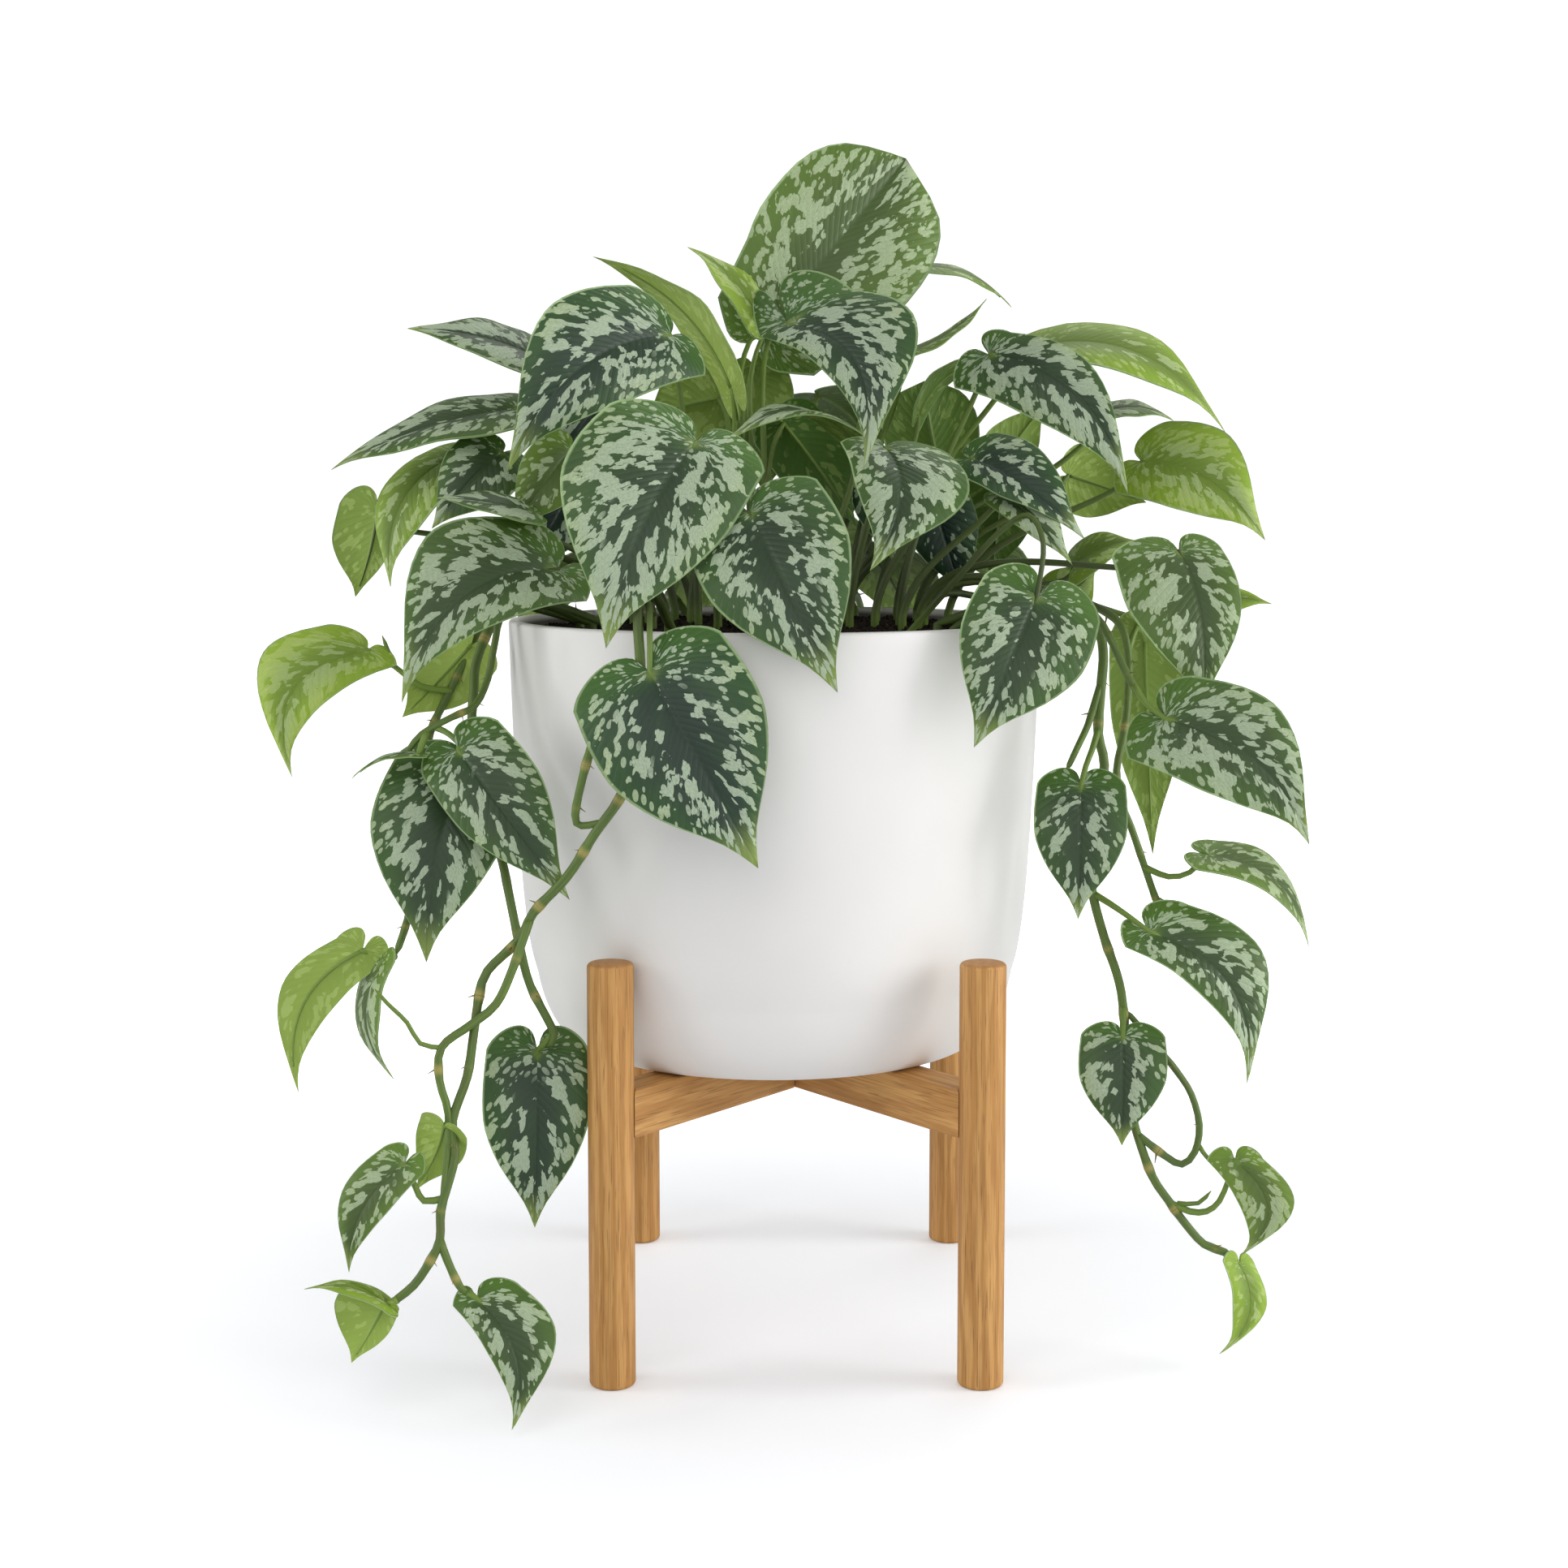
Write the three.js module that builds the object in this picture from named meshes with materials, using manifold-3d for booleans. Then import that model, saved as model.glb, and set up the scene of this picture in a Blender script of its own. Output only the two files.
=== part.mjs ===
// Satin pothos (Scindapsus pictus) in a white ceramic pot that stands on a wooden four-leg stand.
// Millimetres, +Z up. The origin is on the floor under the middle of the plant.
import * as THREE from 'three';
import { mergeVertices } from 'three/addons/utils/BufferGeometryUtils.js';
import Module from 'manifold-3d';

const wasm = await Module();
wasm.setup();

// ---- driving dimensions ----
const gap = 0.3; // clearance between pieces that touch
const potAxisX = -4.5;
const potRadius = 125; // outside, at the rim
const potFootRadius = 87; // flat foot
const potFillet = 27; // how far the rounded bottom goes out from the foot
const potFilletHeight = 50;
const potWallPoints = [[116, 48], [119, 72], [121.4, 108], [123.3, 148]]; // [radius, height above the foot]
const potWall = 6;
const potFloor = 10;
const lip = 1; // how far the rim's edges are cut back
const potBottom = 132; // underside of the foot above the floor, on the crossed bars
const potTop = 332.6;
const soilTop = 326;
const soilCrown = 5; // how far the soil rises in the middle
const soilShoulder = 0.75; // share of that rise halfway out
const soilShy = 0.5; // how much further the soil's top edge stays from the wall
const standAxisX = 5.5;
const legRadius = 10.2;
const legTop = 188.5;
const legRing = 133.8; // leg centres from the stand's axis
const legAzimuth = 52.7; // front right leg, degrees from +X towards the front
const legChamfer = 1.6;
const legSides = 14;
const barHeight = 21;
const barWidth = 19;
const roundSides = 28; // facets round the pot and the soil
const bladeThickness = 1.0;
const vineRadius = 2.3;
const stalkRadius = 1.6;
const stalkFoot = 2; // radius of a stalk that stands in the soil
const stalkNeck = 1; // radius where a stalk meets its blade
const stalkPoint = 0.4; // a stalk's end, inside the blade
const stalkSides = 4;
const stalkSteps = 4; // straight runs of a stalk from the soil to its blade
const vineSides = 5;
const vineTaper = 0.8; // a vine's end radius as a share of its first
const tendrilRadius = 1.1;
const pathStep = 22; // length of one straight run of a curved stem
const tubeTolerance = 0.3; // how far the fused stems may be smoothed over
const bladeTolerance = 0.12;
const plainArch = 0.12; // bow of a blade along its midrib, as a share of its length, where none is given
const plainFold = 0.3; // how steeply the halves rise from the midrib
const plainCup = 0.3; // how much they bend down again towards the margin
const plainLobe = 0.13; // how far the lobes reach behind the sinus, as a share of the length
const stalkInBlade = 0.06; // where a stalk ends on the midrib, as a share of the length
const straightRise = 4; // how far a vine rises straight out of the soil
const clearOfSoil = 6; // height above the soil at which the stalks of one root part
const looseScrap = 1; // cubic millimetres: what the fusing leaves over
const rootDepth = 16; // how deep a stem stands in its hole in the soil
const rootHole = 3.1; // radius of a stem's hole
const underRoot = 1; // how much deeper the hole is than its stem
const overSoil = 24; // how far the tool that cuts a hole stands over it

// Points of the plant are drawn on an upright sheet through the middle, as [across, up], with a depth
// behind the sheet. The viewing point in front carries them to that depth.
const viewPoint = new THREE.Vector3(0, -1327, 442.6);

const at = ([across, up, depth]) => {
  const scale = (depth - viewPoint.y) / -viewPoint.y;
  return new THREE.Vector3(across * scale, depth, viewPoint.z + (up - viewPoint.z) * scale);
};

const place = (point) => (point.isVector3 ? point.clone() : at(point));

// ---- materials ----
const material = (color, roughness) => new THREE.MeshStandardMaterial({ color, roughness, metalness: 0 });
const ceramic = material(0xf1efec, 0.45);
const oak = material(0xc08a4e, 0.6);
const soilMix = material(0x17120e, 0.95);
const leafGreen = material(0x4f7a4a, 0.5);

// ---- solids ----
const toSolid = (geometry) => {
  const bare = geometry.clone();
  bare.deleteAttribute('normal');
  bare.deleteAttribute('uv');
  const merged = mergeVertices(bare, 1e-4);
  return new wasm.Manifold(new wasm.Mesh({
    numProp: 3,
    vertProperties: new Float32Array(merged.attributes.position.array),
    triVerts: new Uint32Array(merged.index.array),
  }));
};

const toGeometry = (solid) => {
  const mesh = solid.getMesh();
  const geometry = new THREE.BufferGeometry();
  geometry.setAttribute('position', new THREE.BufferAttribute(new Float32Array(mesh.vertProperties), 3));
  geometry.setIndex(new THREE.BufferAttribute(new Uint32Array(mesh.triVerts), 1));
  geometry.computeVertexNormals();
  return geometry;
};

const shell = (corners, triangles) => {
  const geometry = new THREE.BufferGeometry();
  const coordinates = corners.flatMap((p) => p.toArray());
  geometry.setAttribute('position', new THREE.Float32BufferAttribute(coordinates, 3));
  geometry.setIndex(triangles.flat());
  return geometry;
};

const group = new THREE.Group();

const addPiece = (name, geometry, pieceMaterial) => {
  const mesh = new THREE.Mesh(geometry, pieceMaterial);
  mesh.name = name;
  group.add(mesh);
  return mesh;
};

// ---- curves ----
// a smooth curve through the points, with a few steps in each span
const smooth = (points, steps) => {
  const path = [];
  for (let i = 0; i < points.length - 1; i += 1) {
    const before = points[Math.max(i - 1, 0)];
    const from = points[i];
    const to = points[i + 1];
    const after = points[Math.min(i + 2, points.length - 1)];
    const count = steps ?? Math.max(1, Math.round(from.distanceTo(to) / pathStep));
    for (let k = 0; k < count; k += 1) {
      const t = k / count;
      const leave = to.clone().sub(before).multiplyScalar(0.5);
      const arrive = after.clone().sub(from).multiplyScalar(0.5);
      path.push(from.clone().multiplyScalar(2 * t ** 3 - 3 * t ** 2 + 1)
        .addScaledVector(leave, t ** 3 - 2 * t ** 2 + t)
        .addScaledVector(to, -2 * t ** 3 + 3 * t ** 2)
        .addScaledVector(arrive, t ** 3 - t ** 2));
    }
  }
  path.push(points[points.length - 1].clone());
  return path;
};

// a closed round stem along a path, its radius going evenly from one end to the other
const stem = (path, startRadius, endRadius, sides, pointRadius = endRadius) => {
  const corners = [];
  const triangles = [];
  let side = new THREE.Vector3();
  path.forEach((point, i) => {
    const ahead = path[Math.min(i + 1, path.length - 1)].clone()
      .sub(path[Math.max(i - 1, 0)]).normalize();
    if (i === 0) side.set(Math.abs(ahead.x) < 0.8 ? 1 : 0, Math.abs(ahead.x) < 0.8 ? 0 : 1, 0);
    side = side.addScaledVector(ahead, -side.dot(ahead)).normalize();
    const up = ahead.clone().cross(side);
    const taper = THREE.MathUtils.lerp(startRadius, endRadius, i / (path.length - 1));
    const radius = i === path.length - 1 ? pointRadius : taper;
    for (let k = 0; k < sides; k += 1) {
      const turn = (2 * Math.PI * k) / sides;
      corners.push(point.clone().addScaledVector(side, radius * Math.cos(turn))
        .addScaledVector(up, radius * Math.sin(turn)));
      if (i > 0) {
        const low = (i - 1) * sides;
        const next = (k + 1) % sides;
        triangles.push([low + k, low + next, low + sides + next]);
        triangles.push([low + k, low + sides + next, low + sides + k]);
      }
    }
  });
  const last = (path.length - 1) * sides;
  for (let k = 1; k < sides - 1; k += 1) {
    triangles.push([0, k + 1, k], [last, last + k, last + k + 1]);
  }
  return toSolid(shell(corners, triangles));
};

// ---- a leaf ----
// Heart-shaped half outlines. Each row has its place on the midrib and at the margin, as shares of the
// length (behind the sinus, as a share of the lobes), and the width there as a share of the half width.
const heart = [
  [0, 0, 0], [0.03, -1, 0.32], [0.08, -0.65, 0.76], [0.2, 0.14, 0.99],
  [0.4, 0.38, 0.95], [0.62, 0.62, 0.66], [0.84, 0.84, 0.2], [1, 1, 0],
];
const roundHeart = [
  [0, 0, 0], [0.03, -1, 0.3], [0.08, -0.4, 0.52], [0.2, 0.14, 0.76],
  [0.4, 0.4, 0.98], [0.62, 0.66, 0.98], [0.84, 0.88, 0.7], [1, 1, 0],
];
const smallHeart = [
  [0, 0, 0], [0.06, -1, 0.5], [0.2, 0.12, 0.99],
  [0.5, 0.5, 0.8], [0.8, 0.8, 0.27], [1, 1, 0],
];
const smallLeaf = 16; // half width up to which the simple outline serves
const wideLeaf = 30; // half width from which a blade is also split along its halves

// Frame of a leaf that runs from its sinus to its tip: roll 0 turns its upper face to the viewing point,
// or to the leaf's own facing direction.
const leafFrame = (leaf) => {
  const base = place(leaf.sinus);
  const tip = place(leaf.tip);
  const length = tip.distanceTo(base);
  const along = tip.clone().sub(base).normalize();
  const facing = leaf.face ? leaf.face.clone() : viewPoint.clone().sub(base);
  const front = facing.addScaledVector(along, -facing.dot(along)).normalize();
  const right = front.clone().cross(along);
  const roll = THREE.MathUtils.degToRad(leaf.roll ?? 0);
  const normal = front.clone().multiplyScalar(Math.cos(roll)).addScaledVector(right, Math.sin(roll));
  const side = normal.clone().cross(along);
  return { base, length, along, normal, side };
};

const ribPoint = (leaf, frame, t) => {
  const bow = 4 * Math.max(t, 0) * (1 - t) * frame.length;
  const sag = 4 * Math.min(t, 0) * frame.length;
  return frame.base.clone().addScaledVector(frame.along, t * frame.length)
    .addScaledVector(frame.normal, (bow + sag) * (leaf.arch ?? plainArch))
    .addScaledVector(frame.side, bow * (leaf.bend ?? 0));
};

const blade = (leaf) => {
  const frame = leafFrame(leaf);
  const widest = Math.max(leaf.left, leaf.right);
  const shares = widest > wideLeaf ? [-1, -0.5, 0, 0.5, 1] : [-1, 0, 1];
  const columns = shares.length;
  const plain = widest > smallLeaf ? heart : smallHeart;
  const outline = leaf.full ? roundHeart : plain;
  const fold = leaf.fold ?? plainFold;
  const cup = leaf.cup ?? plainCup;
  const faceCorners = [];
  outline.forEach(([onRib, reach, width]) => {
    const onMargin = reach < 0 ? reach * (leaf.lobe ?? plainLobe) : reach;
    shares.forEach((share) => {
      const v = Math.abs(share);
      const half = width * (share < 0 ? leaf.left : leaf.right);
      const t = onRib * (1 - v) + onMargin * v;
      faceCorners.push(ribPoint(leaf, frame, t)
        .addScaledVector(frame.side, Math.sign(share) * v * half)
        .addScaledVector(frame.normal, half * (fold * v - cup * v * v)));
    });
  });
  const rows = outline.length;
  const index = (row, column) => {
    if (row === 0) return 0;
    if (row === rows - 1) return 1 + (rows - 2) * columns;
    return 1 + (row - 1) * columns + column;
  };
  const kept = [faceCorners[0]];
  for (let row = 1; row < rows - 1; row += 1) {
    kept.push(...faceCorners.slice(row * columns, (row + 1) * columns));
  }
  kept.push(faceCorners[(rows - 1) * columns]);
  const face = [];
  for (let row = 0; row < rows - 1; row += 1) {
    for (let column = 0; column < columns - 1; column += 1) {
      const a = index(row, column);
      const b = index(row, column + 1);
      const c = index(row + 1, column + 1);
      const d = index(row + 1, column);
      if (column < (columns - 1) / 2) {
        if (a !== b) face.push([a, c, b]);
        if (c !== d) face.push([a, d, c]);
      } else {
        if (a !== b) face.push([a, d, b]);
        if (c !== d) face.push([b, d, c]);
      }
    }
  }
  const rim = [];
  for (let row = 0; row < rows; row += 1) rim.push(index(row, 0));
  for (let row = rows - 2; row > 0; row -= 1) rim.push(index(row, columns - 1));
  const top = kept.map((p) => p.clone().addScaledVector(frame.normal, bladeThickness / 2));
  const bottom = kept.map((p) => p.clone().addScaledVector(frame.normal, -bladeThickness / 2));
  const count = kept.length;
  const triangles = [...face];
  face.forEach(([a, b, c]) => triangles.push([a + count, c + count, b + count]));
  rim.forEach((a, k) => {
    const b = rim[(k + 1) % rim.length];
    triangles.push([a, a + count, b + count], [a, b + count, b]);
  });
  return toSolid(shell([...top, ...bottom], triangles));
};

// A leaf stalk into the sinus: along its own drawn points, which start on a vine or, if rooted, in the
// soil, or else in an easy curve from the soil.
const stalk = (leaf, foot, first) => {
  const frame = leafFrame(leaf);
  const { base } = frame;
  const inside = ribPoint(leaf, frame, stalkInBlade);
  const buried = foot.clone().setZ(foot.z - rootDepth);
  if (leaf.stalk) {
    const start = leaf.rooted ? [buried, foot.clone()] : [];
    const path = smooth([...leaf.stalk.map(place), base]);
    return stem([...start, ...path, inside], stalkRadius, stalkNeck, stalkSides, stalkPoint);
  }
  const clear = foot.clone().setZ(foot.z + clearOfSoil);
  const reach = clear.distanceTo(base);
  const nearRoot = clear.clone().lerp(base, 0.12);
  nearRoot.z = clear.z + 0.4 * reach;
  const arrive = frame.normal.clone().multiplyScalar(0.4).addScaledVector(frame.along, 0.3);
  arrive.z += 0.6;
  const nearLeaf = base.clone().addScaledVector(arrive.normalize(), -0.28 * reach);
  const curve = new THREE.CubicBezierCurve3(clear, nearRoot, nearLeaf, base);
  const path = [...(first ? [buried] : []), ...curve.getPoints(stalkSteps), inside];
  return stem(path, stalkFoot, stalkNeck, stalkSides, stalkPoint);
};

// ---- wood stand ----
const legPlaces = [
  ['front_left', 180 + legAzimuth],
  ['front_right', -legAzimuth],
  ['back_right', legAzimuth],
  ['back_left', 180 - legAzimuth],
].map(([name, azimuth]) => {
  const turn = THREE.MathUtils.degToRad(azimuth);
  return { name, turn, x: standAxisX + legRing * Math.cos(turn), y: legRing * Math.sin(turn) };
});

const addLegs = () => {
  const profile = [
    [0, 0], [legRadius - legChamfer, 0], [legRadius, legChamfer],
    [legRadius, legTop - legChamfer], [legRadius - legChamfer, legTop], [0, legTop],
  ].map(([r, z]) => new THREE.Vector2(r, z));
  legPlaces.forEach(({ name, x, y }) => {
    const geometry = new THREE.LatheGeometry(profile, legSides);
    geometry.rotateX(Math.PI / 2);
    geometry.translate(x, y, 0);
    addPiece(`leg_${name}`, toGeometry(toSolid(geometry)), oak);
  });
};

// the two bars cross in a half lap, and their ends are hollowed to fit against the round legs
const addBars = () => {
  const hollowRadius = (legRadius + gap) / Math.cos(Math.PI / legSides);
  const barTop = potBottom - gap;
  const barBottom = barTop - barHeight;
  const middle = (barTop + barBottom) / 2;
  const beam = (turn, length, width, bottom, top) => {
    const geometry = new THREE.BoxGeometry(length, width, top - bottom);
    geometry.rotateZ(turn);
    geometry.translate(standAxisX, 0, (top + bottom) / 2);
    return toSolid(geometry);
  };
  const hollow = ({ x, y }) => {
    const geometry = new THREE.CylinderGeometry(hollowRadius, hollowRadius, legTop, legSides);
    geometry.rotateX(Math.PI / 2);
    geometry.translate(x, y, legTop / 2);
    return toSolid(geometry);
  };
  const bar = (turn) => legPlaces.reduce(
    (left, leg) => left.subtract(hollow(leg)),
    beam(turn, 2 * legRing, barWidth, barBottom, barTop),
  );
  const notch = (turn, bottom, top) => beam(turn, legRing, barWidth + 2 * gap, bottom, top);
  const [first, second] = legPlaces.map(({ turn }) => turn);
  const upperHalf = notch(first, middle - gap / 2, barTop + barHeight);
  const lowerHalf = notch(second, barBottom - barHeight, middle + gap / 2);
  addPiece('bar_lower', toGeometry(bar(second).subtract(upperHalf)), oak);
  addPiece('bar_upper', toGeometry(bar(first).subtract(lowerHalf)), oak);
};

// ---- pot ----
// outside of the pot from its foot up: a rounded bottom that runs on into the wall
const potOutside = () => {
  const points = [[0, potBottom], [potFootRadius, potBottom]];
  const arcSteps = 4;
  for (let k = 1; k < arcSteps; k += 1) {
    const turn = (Math.PI / 2) * (k / arcSteps);
    const rise = potFilletHeight * (1 - Math.cos(turn));
    points.push([potFootRadius + potFillet * Math.sin(turn), potBottom + rise]);
  }
  potWallPoints.forEach(([radius, height]) => points.push([radius, potBottom + height]));
  points.push([potRadius, potTop - lip], [potRadius - lip, potTop]);
  return points;
};

const lathe = (points) => {
  const geometry = new THREE.LatheGeometry(points.map(([r, z]) => new THREE.Vector2(r, z)), roundSides);
  geometry.rotateX(Math.PI / 2);
  geometry.translate(potAxisX, 0, 0);
  return toSolid(geometry);
};

// inside of the pot's wall: every second ring of the outside, down to the floor of the pot
const innerWall = () => potOutside().slice(1, -2).filter((ring, i) => i % 2 === 0)
  .map(([r, z]) => [r - potWall, Math.max(z, potBottom + potFloor)])
  .filter(([, z], i, all) => i === all.length - 1 || all[i + 1][1] > z);

const addPot = () => {
  const outside = potOutside();
  const innerLip = [[potRadius - potWall + lip, potTop], [potRadius - potWall, potTop - lip]];
  const inside = [...innerLip, ...innerWall().reverse()];
  const profile = [...outside, ...inside, [0, potBottom + potFloor]];
  addPiece('pot', toGeometry(lathe(profile)), ceramic);
};

// ---- soil with one plain hole for each stem ----
const soilHeight = (x, y) => (
  soilTop + soilCrown * (1 - ((x - potAxisX) ** 2 + y ** 2) / (potRadius - potWall) ** 2)
);

const addSoil = (roots) => {
  const wall = innerWall().map(([radius, z]) => [radius - gap, z + gap]);
  const edge = potRadius - potWall - gap - soilShy;
  const profile = [
    [0, potBottom + potFloor + gap], ...wall,
    [edge, soilTop], [edge / 2, soilTop + soilShoulder * soilCrown], [0, soilTop + soilCrown],
  ];
  const holeLength = rootDepth + overSoil;
  const soil = roots.reduce((left, root) => {
    const hole = new THREE.CylinderGeometry(rootHole, rootHole, holeLength, vineSides);
    hole.rotateX(Math.PI / 2);
    hole.translate(root.x, root.y, root.z - rootDepth - underRoot + holeLength / 2);
    return left.subtract(toSolid(hole));
  }, lathe(profile));
  addPiece('soil', toGeometry(soil), soilMix);
};

// ---- leafy stems ----
// Each one has its root in the soil [x, y], the stems that grow from it as drawn points with a radius,
// and its leaves: sinus, tip, half widths left and right of the midrib, and how the blade is turned.
const plant = [
  // upright stems of the crown
  {
    name: 'leafy_stem_top',
    root: [-14, 8],
    leaves: [
      { sinus: [-9, 467, 26], tip: [57, 549, 50], left: 44, right: 40, full: true, arch: 0.06, lobe: 0.1,
        rooted: true, stalk: [[-15, 400, 11], [-16, 440, 16], [-13, 458, 22]] },
      { sinus: [-14, 452, 34], tip: [-2, 412, 30], left: 15, right: 15, roll: 175 },
    ],
  },
  {
    name: 'leafy_stem_over',
    root: [-9, -6],
    leaves: [
      { sinus: [2, 469, -24], tip: [37, 399, -80], left: 15, right: 35, bend: 0.2, arch: 0.09, lobe: 0.42,
        rooted: true, stalk: [[-9, 400, -8], [-10, 440, -11], [-7, 462, -16]] },
      { sinus: [0, 424, 0], tip: [34, 376, -8], left: 18, right: 18, roll: 170 },
    ],
  },
  {
    name: 'leafy_stem_left_high',
    root: [-40, -16],
    leaves: [
      { sinus: [-53, 463, -42], tip: [-129, 398, -78], left: 31, right: 25, bend: -0.14, lobe: 0.08 },
    ],
  },
  {
    name: 'leafy_stem_heart',
    root: [-30, -46],
    leaves: [
      { sinus: [-41, 411, -96], tip: [-83, 314, -130], left: 43, right: 34, bend: -0.06, arch: 0.1 },
    ],
  },
  {
    name: 'leafy_stem_middle',
    root: [0, -56],
    leaves: [
      { sinus: [-16, 378, -106], tip: [25, 293, -141], left: 32, right: 34 },
    ],
  },
  {
    name: 'leafy_stem_right_front',
    root: [30, -38],
    leaves: [
      { sinus: [47, 410, -60], tip: [40, 351, -108], left: 21, right: 31, bend: 0.13, arch: 0.1 },
    ],
  },
  {
    name: 'leafy_stem_pale',
    root: [-26, -4],
    leaves: [
      { sinus: [-24, 439, -14], tip: [-89, 501, -8], left: 22, right: 24, roll: -110, arch: 0.13,
        rooted: true, stalk: [[-24, 400, -6], [-23, 425, -10]] },
    ],
  },
  {
    name: 'leafy_stem_small_top',
    root: [-22, 18],
    leaves: [
      { sinus: [-11, 471, 3], tip: [-45, 506, 5], left: 18, right: 18, roll: -65, arch: 0.1,
        rooted: true, stalk: [[-22, 400, 16], [-20, 450, 6]] },
    ],
  },
  {
    name: 'leafy_stem_back_right_high',
    root: [24, 33],
    leaves: [
      { sinus: [62, 499, 68], tip: [107, 481, 70], left: 15, right: 15, roll: 80, arch: 0.12 },
    ],
  },
  {
    name: 'leafy_stem_right_wing',
    root: [20, 16],
    leaves: [
      { sinus: [56, 456, 16], tip: [95, 483, 20], left: 16, right: 16, roll: 80, arch: -0.08 },
    ],
  },
  {
    name: 'leafy_stem_arch',
    root: [14, -22],
    leaves: [
      { sinus: [33, 415, -24], tip: [-28, 412, -62], left: 20, right: 20, roll: -78, arch: 0.2 },
    ],
  },
  {
    name: 'leafy_stem_right_high',
    root: [54, -10],
    leaves: [
      { sinus: [96, 455, -20], tip: [161, 389, -52], left: 23, right: 15, bend: 0.16, lobe: 0.12 },
    ],
  },
  {
    name: 'leafy_stem_right_reach',
    root: [44, 14],
    leaves: [
      { sinus: [114, 459, 6], tip: [207, 419, -14], left: 24, right: 24, roll: 58, arch: 0.2 },
    ],
  },
  {
    name: 'leafy_stem_right_edge',
    root: [78, 8],
    leaves: [
      { sinus: [168, 406, -6], tip: [226, 368, -34], left: 20, right: 25, bend: 0.1, roll: 10 },
    ],
  },
  {
    name: 'leafy_stem_right_dark',
    root: [42, -26],
    leaves: [
      { sinus: [87, 406, -36], tip: [141, 367, -66], left: 12, right: 20, roll: 25, arch: 0.15 },
    ],
  },
  {
    name: 'leafy_stem_right_low',
    root: [54, -40],
    leaves: [
      { sinus: [101, 389, -46], tip: [135, 355, -72], left: 8, right: 13, roll: 20 },
    ],
  },
  {
    name: 'leafy_stem_right_green',
    root: [30, 2],
    leaves: [
      { sinus: [63, 428, 12], tip: [99, 455, 14], left: 18, right: 18, roll: 105, arch: 0.17 },
      { sinus: [42, 402, 8], tip: [52, 358, 2], left: 13, right: 15 },
    ],
  },
  {
    name: 'leafy_stem_right_inner',
    root: [30, 30],
    leaves: [
      { sinus: [74, 402, 38], tip: [66, 446, 54], left: 24, right: 24, full: true, roll: 170 },
      { sinus: [100, 401, 46], tip: [125, 437, 56], left: 15, right: 15, roll: 160 },
      { sinus: [70, 390, 20], tip: [84, 344, 21], left: 16, right: 18, arch: 0.03 },
      { sinus: [102, 397, 30], tip: [98, 352, 24], left: 17, right: 17, roll: 175 },
    ],
  },
  {
    name: 'leafy_stem_right_under',
    root: [64, 24],
    leaves: [
      { sinus: [134, 401, 34], tip: [171, 388, 28], left: 17, right: 17, roll: 175 },
      { sinus: [151, 430, 14], tip: [183, 426, 16], left: 12, right: 12, roll: 70 },
    ],
  },
  {
    name: 'leafy_stem_left_under',
    root: [-44, 2],
    leaves: [
      { sinus: [-31, 437, 30], tip: [-66, 426, 16], left: 22, right: 22, roll: -160 },
    ],
  },
  {
    name: 'leafy_stem_left_dark',
    root: [-70, -16],
    leaves: [
      { sinus: [-132, 409, -32], tip: [-165, 373, -50], left: 18, right: 18, roll: -15 },
      { sinus: [-84, 436, -24], tip: [-108, 402, -32], left: 15, right: 15 },
      { sinus: [-98, 394, -26], tip: [-122, 350, -40], left: 16, right: 16 },
    ],
  },
  {
    name: 'leafy_stem_left_wing',
    root: [-52, 12],
    leaves: [
      { sinus: [-116, 455, 8], tip: [-176, 468, -4], left: 22, right: 22, roll: -62, arch: 0.06 },
    ],
  },
  {
    name: 'leafy_stem_left_reach',
    root: [-64, 0],
    leaves: [
      { sinus: [-123, 430, -14], tip: [-212, 401, -36], left: 26, right: 26, roll: -66, arch: 0.06 },
    ],
  },
  {
    name: 'leafy_stem_left_green',
    root: [-80, 10],
    leaves: [
      { sinus: [-153, 409, -8], tip: [-185, 346, -34], left: 17, right: 21, roll: -40, bend: -0.1,
        arch: 0.15 },
      { sinus: [-191, 382, -6], tip: [-202, 342, -18], left: 9, right: 20, roll: 165, lobe: 0.25 },
    ],
  },
  {
    name: 'leafy_stem_left_flat',
    root: [-60, -38],
    leaves: [
      { sinus: [-118, 380, -64], tip: [-162, 386, -80], left: 17, right: 17, roll: -70, arch: 0.03 },
      { sinus: [-100, 410, -46], tip: [-128, 372, -54], left: 15, right: 15 },
    ],
  },
  {
    name: 'leafy_stem_left_low',
    root: [-52, -56],
    leaves: [
      { sinus: [-106, 353, -72], tip: [-179, 289, -108], left: 32, right: 20, bend: -0.19 },
    ],
  },
  {
    name: 'leafy_stem_right_back',
    root: [66, -4],
    leaves: [
      { sinus: [137, 357, 6], tip: [167, 369, 0], left: 18, right: 18, roll: 60 },
      { sinus: [128, 338, 20], tip: [148, 358, 16], left: 14, right: 14, roll: 10 },
    ],
  },
  {
    name: 'leafy_stem_right_fold',
    root: [62, -26],
    leaves: [
      { sinus: [185, 362, -58], tip: [196, 286, -86], left: 32, right: 20, bend: 0.05, roll: 10 },
      { sinus: [194, 338, -15], tip: [230, 338.5, -24], left: 9, right: 9, roll: 40 },
    ],
  },
  {
    name: 'leafy_stem_right_heart',
    root: [56, -56],
    leaves: [
      { sinus: [118, 339, -96], tip: [89, 268, -118], left: 26, right: 31, lobe: 0.2,
        rooted: true, stalk: [[80, 348, -62], [100, 370, -70], [114, 378, -80], [121, 364, -92]] },
    ],
  },
  // stems that trail over the rim
  {
    name: 'vine_left_long',
    root: [-50, -74],
    vines: [
      {
        rooted: true,
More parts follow.
